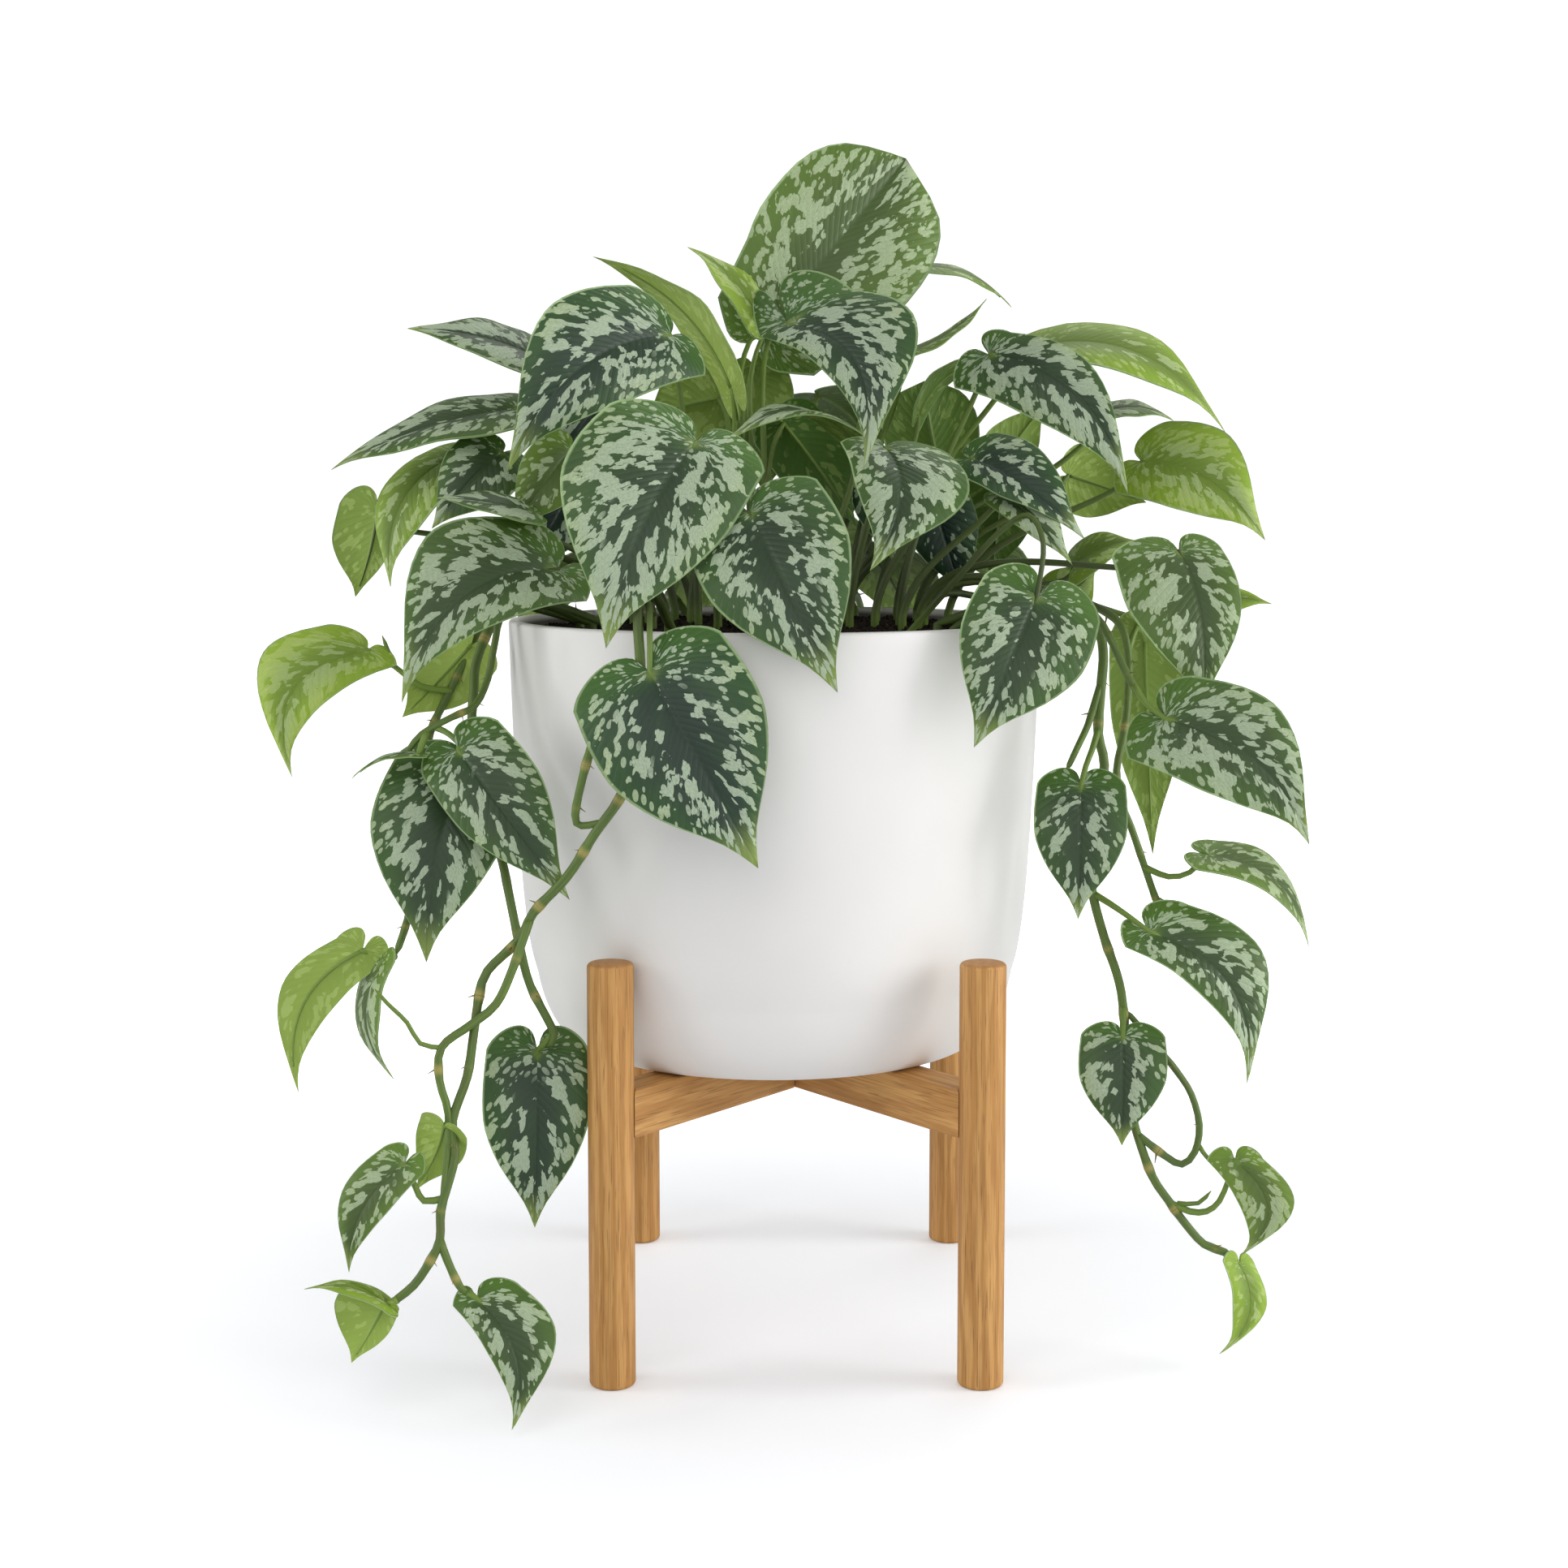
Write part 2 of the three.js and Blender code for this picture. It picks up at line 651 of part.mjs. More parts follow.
        points: [
          [-60, 340, -94], [-67, 343, -112], [-68, 326, -129], [-67, 303, -131], [-69, 277, -129],
          [-75, 248, -126], [-89, 227, -122], [-102, 207, -118], [-118, 190, -115], [-125, 177, -115],
          [-140, 162, -117], [-144, 150, -120], [-147, 130, -124], [-150, 111, -128], [-157, 90, -132],
          [-156, 73, -136], [-160, 57, -140], [-163, 46, -143], [-163.5, 32, -146], [-168, 22, -148],
          [-176, 10, -150], [-187, 1, -152],
        ],
      },
      {
        radius: 1.9,
        points: [[-163.5, 32, -146], [-160, 22, -147], [-154, 9, -149], [-147, 3, -150]],
      },
      {
        radius: 2,
        points: [
          [-120, 186, -115], [-128, 163, -122], [-136, 146, -124], [-148, 136, -126], [-162, 125, -128],
          [-163, 109, -130], [-159, 93, -132], [-160, 69, -137], [-162, 50, -142],
        ],
      },
      {
        radius: tendrilRadius,
        points: [
          [-162, 125, -128], [-172, 127, -130], [-178, 137, -132], [-187, 146, -133], [-193, 153, -134],
        ],
      },
      {
        radius: 1.9,
        points: [
          [-89, 272, -128], [-94, 255, -124], [-98, 236, -121], [-95, 231, -120], [-84, 233, -124],
        ],
      },
    ],
    leaves: [
      { sinus: [-62.5, 303, -137], tip: [-12, 210, -152], left: 38, right: 36, arch: 0.1,
        stalk: [[-66.5, 344, -108], [-63, 334, -124], [-62.5, 320, -134]] },
      { sinus: [-161, 87, -134], tip: [-175, 56, -132], left: 12, right: 12, roll: 165, arch: 0.2,
        stalk: [[-158, 90, -132]] },
      { sinus: [-180, 69, -138], tip: [-207, 16, -142], left: 13, right: 10, roll: -15, bend: -0.1,
        stalk: [[-162, 52, -141], [-171, 51, -140], [-175, 58, -139]] },
      { sinus: [-188, 0, -152], tip: [-228, 8, -156], left: 10, right: 10, roll: -70,
        stalk: [[-184, 3, -152]] },
      { sinus: [-190, 0, -153], tip: [-206, -28, -160], left: 7, right: 20, roll: 172,
        stalk: [[-184, 3, -152]] },
      { sinus: [-146, 3, -152], tip: [-130, -62, -172], left: 11, right: 20, bend: 0.17,
        stalk: [[-150, 6, -150]] },
    ],
  },
  {
    name: 'vine_left_heart',
    root: [-88, -35],
    vines: [
      {
        rooted: true,
        points: [
          [-113, 338, -40], [-129, 337, -45], [-139, 325, -50], [-145, 309, -56], [-146, 296, -62],
          [-147, 280, -68], [-145, 257, -76], [-139, 234, -84], [-133, 215, -92], [-130, 200, -98],
          [-125, 175, -106], [-120, 155, -106], [-109, 132, -104], [-113, 126, -100],
        ],
      },
    ],
    leaves: [
      { sinus: [-153, 267, -97], tip: [-101, 196, -112], left: 20, right: 23,
        stalk: [[-147, 280, -68], [-151, 278, -85]] },
      { sinus: [-117, 124, -97], tip: [-119, 38, -100], left: 23.6, right: 23.6,
        stalk: [[-110, 132, -103], [-114, 127, -100]] },
    ],
  },
  {
    name: 'vine_left_outer',
    root: [-95, -15],
    vines: [
      {
        rooted: true,
        radius: 2,
        points: [
          [-118, 337, -22], [-131, 338, -26], [-141, 330, -30], [-147, 319, -34], [-158, 296, -42],
          [-165, 282, -48], [-168, 272, -54], [-170, 253, -66], [-173, 219, -82], [-177, 192, -92],
          [-180, 180, -97], [-184, 169, -102],
        ],
      },
      {
        radius: tendrilRadius,
        points: [[-183, 308, -50], [-186, 315, -50], [-189, 323, -50]],
      },
    ],
    leaves: [
      { sinus: [-196, 316, -52], tip: [-232, 255, -64], left: 24, right: 16, bend: -0.26, roll: -10,
        lobe: 0.08, stalk: [[-157, 297, -42], [-171, 299, -47], [-183, 308, -50]] },
      { sinus: [-148, 318, -38], tip: [-180, 284, -56], left: 17, right: 17, roll: 175,
        stalk: [[-147, 319, -34]] },
      { sinus: [-150, 259, -86], tip: [-169, 166, -107], left: 32, right: 27, bend: -0.05,
        stalk: [[-166, 280, -49], [-158, 276, -66], [-151, 268, -79]] },
      { sinus: [-199, 172, -110], tip: [-230, 103, -122], left: 13, right: 13, roll: 180, bend: 0.21,
        stalk: [[-184, 169, -102], [-193, 170, -106]] },
      { sinus: [-190, 166, -112], tip: [-185, 110, -118], left: 17, right: 17, roll: -70, bend: -0.19,
        stalk: [[-184, 169, -102], [-188, 169, -108]] },
    ],
  },
  {
    name: 'vine_left_side',
    root: [-78, -56],
    vines: [
      {
        rooted: true,
        radius: 1.8,
        points: [
          [-112, 338, -60], [-131, 333, -68], [-136, 317, -72], [-139, 302, -75], [-145, 289, -84],
          [-156, 283, -92], [-170, 275, -96], [-178, 265, -97],
        ],
      },
    ],
    leaves: [
      { sinus: [-172, 265, -100], tip: [-203, 254, -100], left: 6, right: 6, roll: -80,
        stalk: [[-168, 276, -95.5], [-170, 270, -98]] },
    ],
  },
  {
    name: 'vine_right_long',
    root: [70, -46],
    vines: [
      {
        rooted: true,
        points: [
          [112, 341, -50], [130, 340, -54], [146, 327, -58], [150, 315, -60], [149, 296, -64],
          [148, 276, -68], [151, 261, -70], [148, 238, -72], [145, 215, -73], [146, 200, -74],
          [152, 178, -75], [158, 161, -76], [161, 146, -77], [164, 111, -78], [166, 94, -79],
          [169, 82, -80], [176, 63, -81], [184, 51, -82], [192, 40, -83], [201, 30, -84],
          [211, 26, -85], [216, 21, -86],
        ],
      },
      {
        radius: 1.7,
        points: [
          [168, 84, -80], [182, 73, -82], [190, 69, -83], [196, 75, -84], [198, 88, -84],
          [194, 103, -83], [187, 114, -82], [179, 124, -81], [162, 144, -77],
        ],
      },
      {
        radius: tendrilRadius,
        points: [[198, 78, -84], [203, 71, -85], [211, 67, -87]],
      },
      {
        radius: tendrilRadius,
        points: [[188, 50, -83], [198, 50, -84], [204, 56, -86]],
      },
      {
        radius: 1.7,
        points: [
          [149, 300, -63], [146, 290, -68], [143, 280, -73], [138, 269, -78], [133, 258, -80],
        ],
      },
    ],
    leaves: [
      { sinus: [140, 251, -86], tip: [139, 187, -92], left: 20.5, right: 20.5,
        stalk: [[148, 278, -68], [145, 268, -76], [142, 260, -82]] },
      { sinus: [173, 181, -86], tip: [220, 108, -97], left: 14, right: 24, bend: 0.18, roll: 20,
        stalk: [[146, 200, -74], [154, 195, -78], [164, 188, -82]] },
      { sinus: [161, 131, -86], tip: [161, 78, -92], left: 19.6, right: 19.6,
        stalk: [[161, 146, -77], [161, 138, -82]] },
      { sinus: [215, 71, -92], tip: [218, 24, -94], left: 13, right: 13, bend: 0.3,
        stalk: [[185, 50, -82], [194, 46, -84], [202, 46, -86], [208, 51, -88], [212, 61, -90]] },
      { sinus: [218, 20, -88], tip: [209, -24, -94], left: 10, right: 10, bend: 0.17, roll: 40,
        stalk: [[213, 24, -86], [216, 21, -87]] },
    ],
  },
  {
    name: 'vine_right_branch',
    root: [84, -18],
    vines: [
      {
        rooted: true,
        radius: 2,
        points: [
          [113, 341, -22], [135, 341, -28], [156, 331, -38], [162, 315, -44], [162, 292, -50],
          [160, 275, -56], [157, 259, -60], [159, 244, -62], [164, 232, -62], [170, 215, -62],
          [176, 198, -62], [182, 184, -60],
        ],
      },
    ],
    leaves: [
      { sinus: [200, 218, -72], tip: [250, 174, -80], left: 18, right: 18, roll: 62, bend: 0.19,
        stalk: [[170, 213, -62], [182, 208, -66], [192, 210, -69]] },
      { sinus: [170, 322, -33], tip: [175, 219, -38], left: 17, right: 17, roll: 180,
        stalk: [[162, 315, -44], [166, 327, -38]] },
    ],
  },
  {
    name: 'vine_right_front',
    root: [76, -62],
    vines: [
      {
        rooted: true,
        radius: 2,
        points: [
          [112, 342, -66], [132, 339, -70], [146, 331, -76], [154, 318, -82], [161, 303, -90],
          [168, 291, -96],
        ],
      },
    ],
    leaves: [
      { sinus: [179, 282, -102], tip: [247, 222, -116], left: 25, right: 25, bend: 0.14,
        stalk: [[164, 298, -93], [170, 289, -98]] },
    ],
  },
];

// ---- the half of the crown behind the viewing sheet ----
const point = (x, y, z) => new THREE.Vector3(x, y, z);
const aroundPot = (degrees, radius, z) => {
  const turn = THREE.MathUtils.degToRad(degrees);
  return point(potAxisX + radius * Math.cos(turn), radius * Math.sin(turn), z);
};

// a tier of leaves that fan out over the back rim, every second one a little lower and closer in
const lowerLeaf = { root: -10, base: -6, baseZ: -12, tip: -8, tipZ: -14, turn: 8 };
const leafTurn = { base: 4, tip: -5 }; // degrees by which a leaf leaves the straight way out
const backLean = 0.9; // how much the back leaves face upwards
const backTier = (name, { count, first, step, root, base, baseZ, tip, tipZ, half }) => (
  Array.from({ length: count }, (unused, k) => {
    const degrees = first + step * k;
    const low = k % 2;
    const foot = aroundPot(degrees, root + lowerLeaf.root * low, 0);
    const baseTurn = degrees + leafTurn.base;
    const tipTurn = degrees + leafTurn.tip + lowerLeaf.turn * low;
    return {
      name: `${name}_${k + 1}`,
      root: [foot.x, foot.y],
      leaves: [{
        sinus: aroundPot(baseTurn, base + lowerLeaf.base * low, baseZ + lowerLeaf.baseZ * low),
        tip: aroundPot(tipTurn, tip + lowerLeaf.tip * low, tipZ + lowerLeaf.tipZ * low),
        face: aroundPot(degrees, 1, backLean).add(point(-potAxisX, 0, 0)),
        left: half,
        right: half - 2,
      }],
    };
  })
);

const backVines = [
  {
    name: 'vine_back_left',
    root: [-50, 80],
    vines: [
      {
        rooted: true,
        radius: 2,
        points: [
          point(-56, 98, 338), point(-60, 120, 339), point(-61, 131, 333), point(-61, 134, 320),
          point(-58, 137, 298), point(-54, 140, 268), point(-50, 142, 240), point(-48, 143, 214),
        ],
      },
    ],
    leaves: [
      { sinus: point(-64, 145, 300), tip: point(-76, 165, 226), left: 24, right: 24,
        face: point(-0.2, 1, 0.3), stalk: [point(-58, 137, 298), point(-61, 141, 303)] },
      { sinus: point(-48, 149, 214), tip: point(-47, 163, 156), left: 18, right: 18,
        face: point(0, 1, 0.2), stalk: [point(-50, 142, 240), point(-49, 146, 222)] },
    ],
  },
  {
    name: 'vine_back_right',
    root: [36, 88],
    vines: [
      {
        rooted: true,
        radius: 2,
        points: [
          point(34, 104, 338), point(37, 124, 339), point(40, 134, 333), point(43, 137, 320),
          point(47, 139, 300), point(46, 141, 276),
        ],
      },
    ],
    leaves: [
      { sinus: point(47, 147, 276), tip: point(58, 168, 202), left: 24, right: 24,
        face: point(0.2, 1, 0.3), stalk: [point(47, 139, 300), point(47, 143, 282)] },
    ],
  },
];

const allStems = [
  ...plant,
  ...backTier('leafy_stem_back_high',
    { count: 4, first: 68, step: 22, root: 46, base: 68, baseZ: 440, tip: 122, tipZ: 404, half: 25 }),
  ...backTier('leafy_stem_back_low',
    { count: 6, first: 36, step: 22, root: 74, base: 98, baseZ: 376, tip: 160, tipZ: 322, half: 30 }),
  ...backVines,
];

const soilPoint = ([x, y]) => new THREE.Vector3(x, y, soilHeight(x, y));

const growStem = ({ name, root, vines = [], leaves = [] }) => {
  const foot = soilPoint(root);
  const tubes = vines.map(({ points, radius = vineRadius, rooted = false }) => {
    const rise = rooted ? [foot.clone().setZ(foot.z + straightRise)] : [];
    const path = smooth([...rise, ...points.map(place)]);
    const start = rooted ? [foot.clone().setZ(foot.z - rootDepth)] : [];
    return stem([...start, ...path], radius, radius * vineTaper, vineSides);
  });
  leaves.forEach((leaf, i) => tubes.push(stalk(leaf, foot, i === 0)));
  const stems = tubes.reduce((sum, solid) => sum.add(solid)).simplify(tubeTolerance);
  const whole = leaves.reduce((sum, leaf) => sum.add(blade(leaf)), stems).simplify(bladeTolerance);
  const bodies = whole.decompose().filter((body) => body.volume() > looseScrap);
  addPiece(name, toGeometry(wasm.Manifold.union(bodies)), leafGreen);
};

addLegs();
addBars();
addPot();
addSoil(allStems.map(({ root }) => soilPoint(root)));
allStems.forEach(growStem);

export default group;
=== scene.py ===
# Satin pothos (Scindapsus pictus) in a white ceramic pot on a wooden four-leg stand.
# +Z is up and the origin is on the floor. The object's tables are in millimetres and its meshes in metres.
# Camera, lamps and floor are in metres too.
import math
import random

import bpy
import numpy as np
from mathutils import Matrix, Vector


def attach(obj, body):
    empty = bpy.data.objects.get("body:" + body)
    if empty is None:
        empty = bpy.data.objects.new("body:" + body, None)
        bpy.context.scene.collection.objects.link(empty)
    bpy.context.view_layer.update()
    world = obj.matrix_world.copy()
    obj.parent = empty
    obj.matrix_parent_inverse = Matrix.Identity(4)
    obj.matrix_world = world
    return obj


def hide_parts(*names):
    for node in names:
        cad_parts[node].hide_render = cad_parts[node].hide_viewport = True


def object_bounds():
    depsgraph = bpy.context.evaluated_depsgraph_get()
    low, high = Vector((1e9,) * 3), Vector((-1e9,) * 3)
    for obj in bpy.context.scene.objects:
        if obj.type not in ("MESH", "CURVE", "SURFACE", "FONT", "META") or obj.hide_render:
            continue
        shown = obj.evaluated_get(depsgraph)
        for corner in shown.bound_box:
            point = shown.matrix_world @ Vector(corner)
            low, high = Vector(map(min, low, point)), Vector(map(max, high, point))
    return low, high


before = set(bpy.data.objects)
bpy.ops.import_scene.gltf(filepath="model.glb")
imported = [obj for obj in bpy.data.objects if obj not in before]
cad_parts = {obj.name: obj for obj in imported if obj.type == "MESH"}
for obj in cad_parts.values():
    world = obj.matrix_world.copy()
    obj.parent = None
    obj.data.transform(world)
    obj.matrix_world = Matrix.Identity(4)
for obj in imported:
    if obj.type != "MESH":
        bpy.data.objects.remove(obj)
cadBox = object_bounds()
metre = 0.001
white = (1, 1, 1, 1)

cameraView = dict(place=(0, -1.171, 0.3936), pitchDown=5.0, sensor=36, lens=56.95, shiftY=-0.05, farthest=30)
sky = dict(strength=0.4, seen=1.1)  # the light it gives, and how bright the camera sees it
lamps = {
    "keyLamp": dict(place=(-0.6, -1.7, 1.7), aim=(0, 0, 0.3), size=1.7, watts=9.8),
    "fillLamp": dict(place=(1.4, -1.4, 1.0), aim=(0, 0, 0.3), size=1.6, watts=6),
    "leftLamp": dict(place=(-1.7, -0.3, 0.7), aim=(0, 0, 0.25), size=1.1, watts=12),
    "rightLamp": dict(place=(1.7, -0.3, 0.7), aim=(0, 0, 0.25), size=1.1, watts=18.5),
    "lowLamp": dict(place=(0.2, -1.7, 0.5), aim=(0, 0, 0.1), size=0.8, watts=1.9),
    "backLamp": dict(place=(0.4, 1.0, 1.8), aim=(0, 0, 0.4), size=1.2, watts=6),
}


def addCamera():
    lens = bpy.data.cameras.new("camera")
    camera = bpy.data.objects.new("camera", lens)
    bpy.context.scene.collection.objects.link(camera)
    lens.sensor_width = cameraView["sensor"]
    lens.lens = cameraView["lens"]
    lens.shift_y = cameraView["shiftY"]
    lens.clip_end = cameraView["farthest"]
    camera.location = cameraView["place"]
    camera.rotation_euler = (math.radians(90 - cameraView["pitchDown"]), 0, 0)
    bpy.context.scene.camera = camera


def aimAt(thing, place, target):
    thing.location = place
    thing.rotation_euler = (Vector(target) - Vector(place)).to_track_quat("-Z", "Y").to_euler()


def addLamps():
    for name, lamp in lamps.items():
        light = bpy.data.lights.new(name, "AREA")
        light.shape = "DISK"
        light.size = lamp["size"]
        light.energy = lamp["watts"]
        holder = bpy.data.objects.new(name, light)
        bpy.context.scene.collection.objects.link(holder)
        aimAt(holder, lamp["place"], lamp["aim"])


def addSky():
    world = bpy.data.worlds.new("studio")
    world.use_nodes = True
    background = world.node_tree.nodes["Background"]
    background.inputs["Color"].default_value = white
    w = NodeWriter(world.node_tree)
    seen = w.add("ShaderNodeLightPath").outputs["Is Camera Ray"]
    w.feed(background.inputs["Strength"], w.step(seen, 0, 1, sky["strength"], sky["seen"]))
    bpy.context.scene.world = world
    bpy.context.scene.view_settings.view_transform = "Standard"


def hexColour(code):
    parts = [int(code[i:i + 2], 16) / 255 for i in (1, 3, 5)]
    return [*(p / 12.92 if p <= 0.04045 else ((p + 0.055) / 1.055) ** 2.4 for p in parts), 1.0]


# Adds nodes to a tree. An input given as a socket is linked, any other is set.
class NodeWriter:
    def __init__(self, tree):
        self.tree = tree

    def feed(self, socket, value):
        if isinstance(value, bpy.types.NodeSocket):
            self.tree.links.new(value, socket)
        elif value is not None:
            socket.default_value = value

    def add(self, kind, inputs=None, **settings):
        node = self.tree.nodes.new(kind)
        for key, value in settings.items():
            setattr(node, key, value)
        for key, value in (inputs or {}).items():
            self.feed(node.inputs[key], value)
        return node

    def math(self, operation, a, b=None):
        return self.add("ShaderNodeMath", {0: a, 1: b}, operation=operation).outputs[0]

    def plus(self, a, b):
        return self.math("ADD", a, b)

    def minus(self, a, b):
        return self.math("SUBTRACT", a, b)

    def times(self, a, b):
        return self.math("MULTIPLY", a, b)

    def size(self, a):
        return self.math("ABSOLUTE", a)

    def vector(self, operation, a, b):
        return self.add("ShaderNodeVectorMath", {0: a, 1: b}, operation=operation).outputs[0]

    def stretch(self, vector, factors):
        return self.vector("MULTIPLY", vector, factors)

    def combine(self, x, y, z=0.0):
        return self.add("ShaderNodeCombineXYZ", {0: x, 1: y, 2: z}).outputs[0]

    def separate(self, vector):
        return self.add("ShaderNodeSeparateXYZ", {0: vector}).outputs

    # a smooth step of the value, from toLow at low to toHigh at high
    def step(self, value, low, high, toLow=0.0, toHigh=1.0):
        return self.add("ShaderNodeMapRange", {0: value, 1: low, 2: high, 3: toLow, 4: toHigh},
                        interpolation_type="SMOOTHSTEP").outputs[0]

    def mix(self, factor, a, b):
        node = self.add("ShaderNodeMix", data_type="RGBA")
        for socket, value in zip((node.inputs[0], node.inputs[6], node.inputs[7]), (factor, a, b)):
            self.feed(socket, hexColour(value) if isinstance(value, str) else value)
        return node.outputs[2]

    def noise(self, vector, scale=1.0, detail=2.0, roughness=0.5, plane=False):
        inputs = {"Vector": vector, "Scale": scale, "Detail": detail, "Roughness": roughness}
        return self.add("ShaderNodeTexNoise", inputs, noise_dimensions="2D" if plane else "3D").outputs["Fac"]

    def uv(self, layer):
        return self.add("ShaderNodeUVMap", uv_map=layer).outputs[0]

    def objectPlace(self):
        return self.add("ShaderNodeTexCoord").outputs["Object"]

    def bump(self, height, strength, distance):
        inputs = {"Height": height, "Strength": strength, "Distance": distance}
        return self.add("ShaderNodeBump", inputs).outputs[0]


def newGroup(name, inputs, outputs):
    tree = bpy.data.node_groups.new(name, "ShaderNodeTree")
    for inOut, sockets in (("INPUT", inputs), ("OUTPUT", outputs)):
        for socket, kind in sockets.items():
            tree.interface.new_socket(socket, in_out=inOut, socket_type="NodeSocket" + kind)
    w = NodeWriter(tree)
    return tree, w, w.add("NodeGroupInput").outputs, w.add("NodeGroupOutput").inputs


def placeGroup(w, tree, inputs):
    node = w.add("ShaderNodeGroup", node_tree=tree)
    for key, value in inputs.items():
        w.feed(node.inputs[key], value)
    return node.outputs


def newMaterial(name, fixed):
    material = bpy.data.materials.new(name)
    material.use_nodes = True
    shader = material.node_tree.nodes["Principled BSDF"]
    for socket, value in fixed.items():
        shader.inputs[socket].default_value = value
    return material, NodeWriter(material.node_tree), shader


def dress(w, shader, colour, roughness, normal=None):
    for socket, value in (("Base Color", colour), ("Roughness", roughness), ("Normal", normal)):
        w.feed(shader.inputs[socket], value)


# Silver splashes of the leaf: fingers of one width side by side along the veins, which run together into
# blotches between midrib and margin, and loose dots towards the margin. Veins is in millimetres across and
# along the veins, Share runs from midrib to margin and Along from sinus to tip.
silverMarks = dict(fingerWidth=3.1, fingerLength=5.8, wobble=1.3, broad=(0.1, 0.085, 0), torn=(0.8, 0.5, 0),
                   edge=(0.512, 0.53), dotCells=(0.25, 0.19, 0), dotRadius=0.37)


def splashGroup():
    tree, w, given, out = newGroup(
        "silverSplash", dict(Veins="Vector", Share="Float", Along="Float", Silver="Float", Finger="Float"),
        dict(Blotches="Float", Dots="Float"))
    veins, share, along = given["Veins"], given["Share"], given["Along"]
    across, down, _ = w.separate(veins)

    # strips along the veins, each broken into fingers with slanted ends
    wobble = w.minus(w.noise(veins, 0.22, 1, plane=True), 0.5)
    strips = w.plus(w.math("DIVIDE", across, given["Finger"]), w.times(wobble, silverMarks["wobble"]))
    strip = w.math("FLOOR", strips)
    inStrip = w.minus(w.math("FRACT", strips), 0.5)
    chance = w.add("ShaderNodeTexWhiteNoise", {"W": strip}, noise_dimensions="1D").outputs["Value"]
    slant = w.times(inStrip, w.minus(w.times(chance, 1.1), 0.3))
    downStrip = w.plus(w.math("DIVIDE", down, silverMarks["fingerLength"]), slant)
    downStrip = w.plus(downStrip, w.times(chance, 40))
    fingers = w.noise(w.combine(w.times(strip, 3.17), downStrip), 1.0, 0, plane=True)
    broad = w.noise(w.stretch(veins, silverMarks["broad"]), 1.0, 1, plane=True)
    torn = w.noise(w.stretch(veins, silverMarks["torn"]), 1.0, 2, plane=True)

    # less silver along the midrib, the rim, the lobes and the strips' own edges
    bare = w.minus(1.0, w.step(share, 0.06, w.step(along, 0.2, 0.8, 0.3, 0.14)))
    bare = w.times(bare, w.step(along, 0.62, 0.9, 1.0, 0.25))
    level = w.plus(w.times(fingers, 0.5), w.times(broad, 0.5))
    level = w.plus(level, w.times(w.minus(given["Silver"], 0.5), 0.2))
    level = w.minus(level, w.times(bare, 0.2))
    level = w.minus(level, w.times(w.step(share, 0.74, 0.92), 0.12))
    level = w.minus(level, w.step(along, 0.14, -0.04, 0.0, 0.1))
    level = w.plus(level, w.times(w.minus(torn, 0.5), 0.12))
    stripEdge = w.math("POWER", w.times(w.size(inStrip), 2), 6)
    level = w.minus(level, w.times(stripEdge, 0.04))
    w.feed(out["Blotches"], w.step(level, *silverMarks["edge"]))

    cells = w.add("ShaderNodeTexVoronoi", {"Vector": w.stretch(veins, silverMarks["dotCells"]), "Scale": 1.0,
                                           "Randomness": 0.9}, voronoi_dimensions="2D").outputs
    radius = w.step(w.separate(cells["Color"])[0], 0.2, 1.0, 0.0, silverMarks["dotRadius"])
    dots = w.math("LESS_THAN", cells["Distance"], radius)
    zone = w.math("MAXIMUM", w.step(share, 0.36, 0.56), w.step(along, 0.2, 0.06))
    w.feed(out["Dots"], w.times(dots, zone))
    return tree


# Height of the leaf's skin: pressed veins, the midrib and fine pores.
def reliefGroup():
    tree, w, given, out = newGroup("leafRelief", dict(Veins="Vector", Share="Float"), dict(Height="Float"))
    across = w.separate(given["Veins"])[0]
    veins = w.times(w.math("POWER", w.size(w.math("SINE", w.times(across, 0.95))), 0.7), 0.5)
    midrib = w.step(given["Share"], 0.0, 0.07)
    pores = w.times(w.noise(given["Veins"], 2.2, 2, plane=True), 0.22)
    swell = w.noise(given["Veins"], 0.13, 1, plane=True)
    w.feed(out["Height"], w.plus(w.plus(veins, midrib), w.plus(pores, swell)))
    return tree


# The lit colours paint the light on leaves in the light or against it. The darkest underside green paints the
# shade on undersides in the crown.
leafColours = dict(deep="#1f3329", mid="#2b4b29", lobe="#3a6026", lit="#8fae34", tip="#98ad58", rim="#9ab67e",
                   silver="#abbca2", litSilver="#b1c46a", under="#9cb552", underDeep="#40621a",
                   underLit="#b7cd78")
leafRelief = dict(strength=0.5, depth=0.0006)
rimBand = (0.955, 0.985)


# What both sides of a blade read from its surface.
def bladeReadings(w, groups):
    share, along, _ = w.separate(w.uv("blade"))
    lit, silver, _ = w.separate(w.uv("kind"))
    veins = w.uv("veins")
    splash, relief = groups
    marks = placeGroup(w, splash, {"Veins": veins, "Share": share, "Along": along, "Silver": silver,
                                   "Finger": silverMarks["fingerWidth"]})
    height = placeGroup(w, relief, {"Veins": veins, "Share": share})["Height"]
    return share, along, lit, veins, marks, height


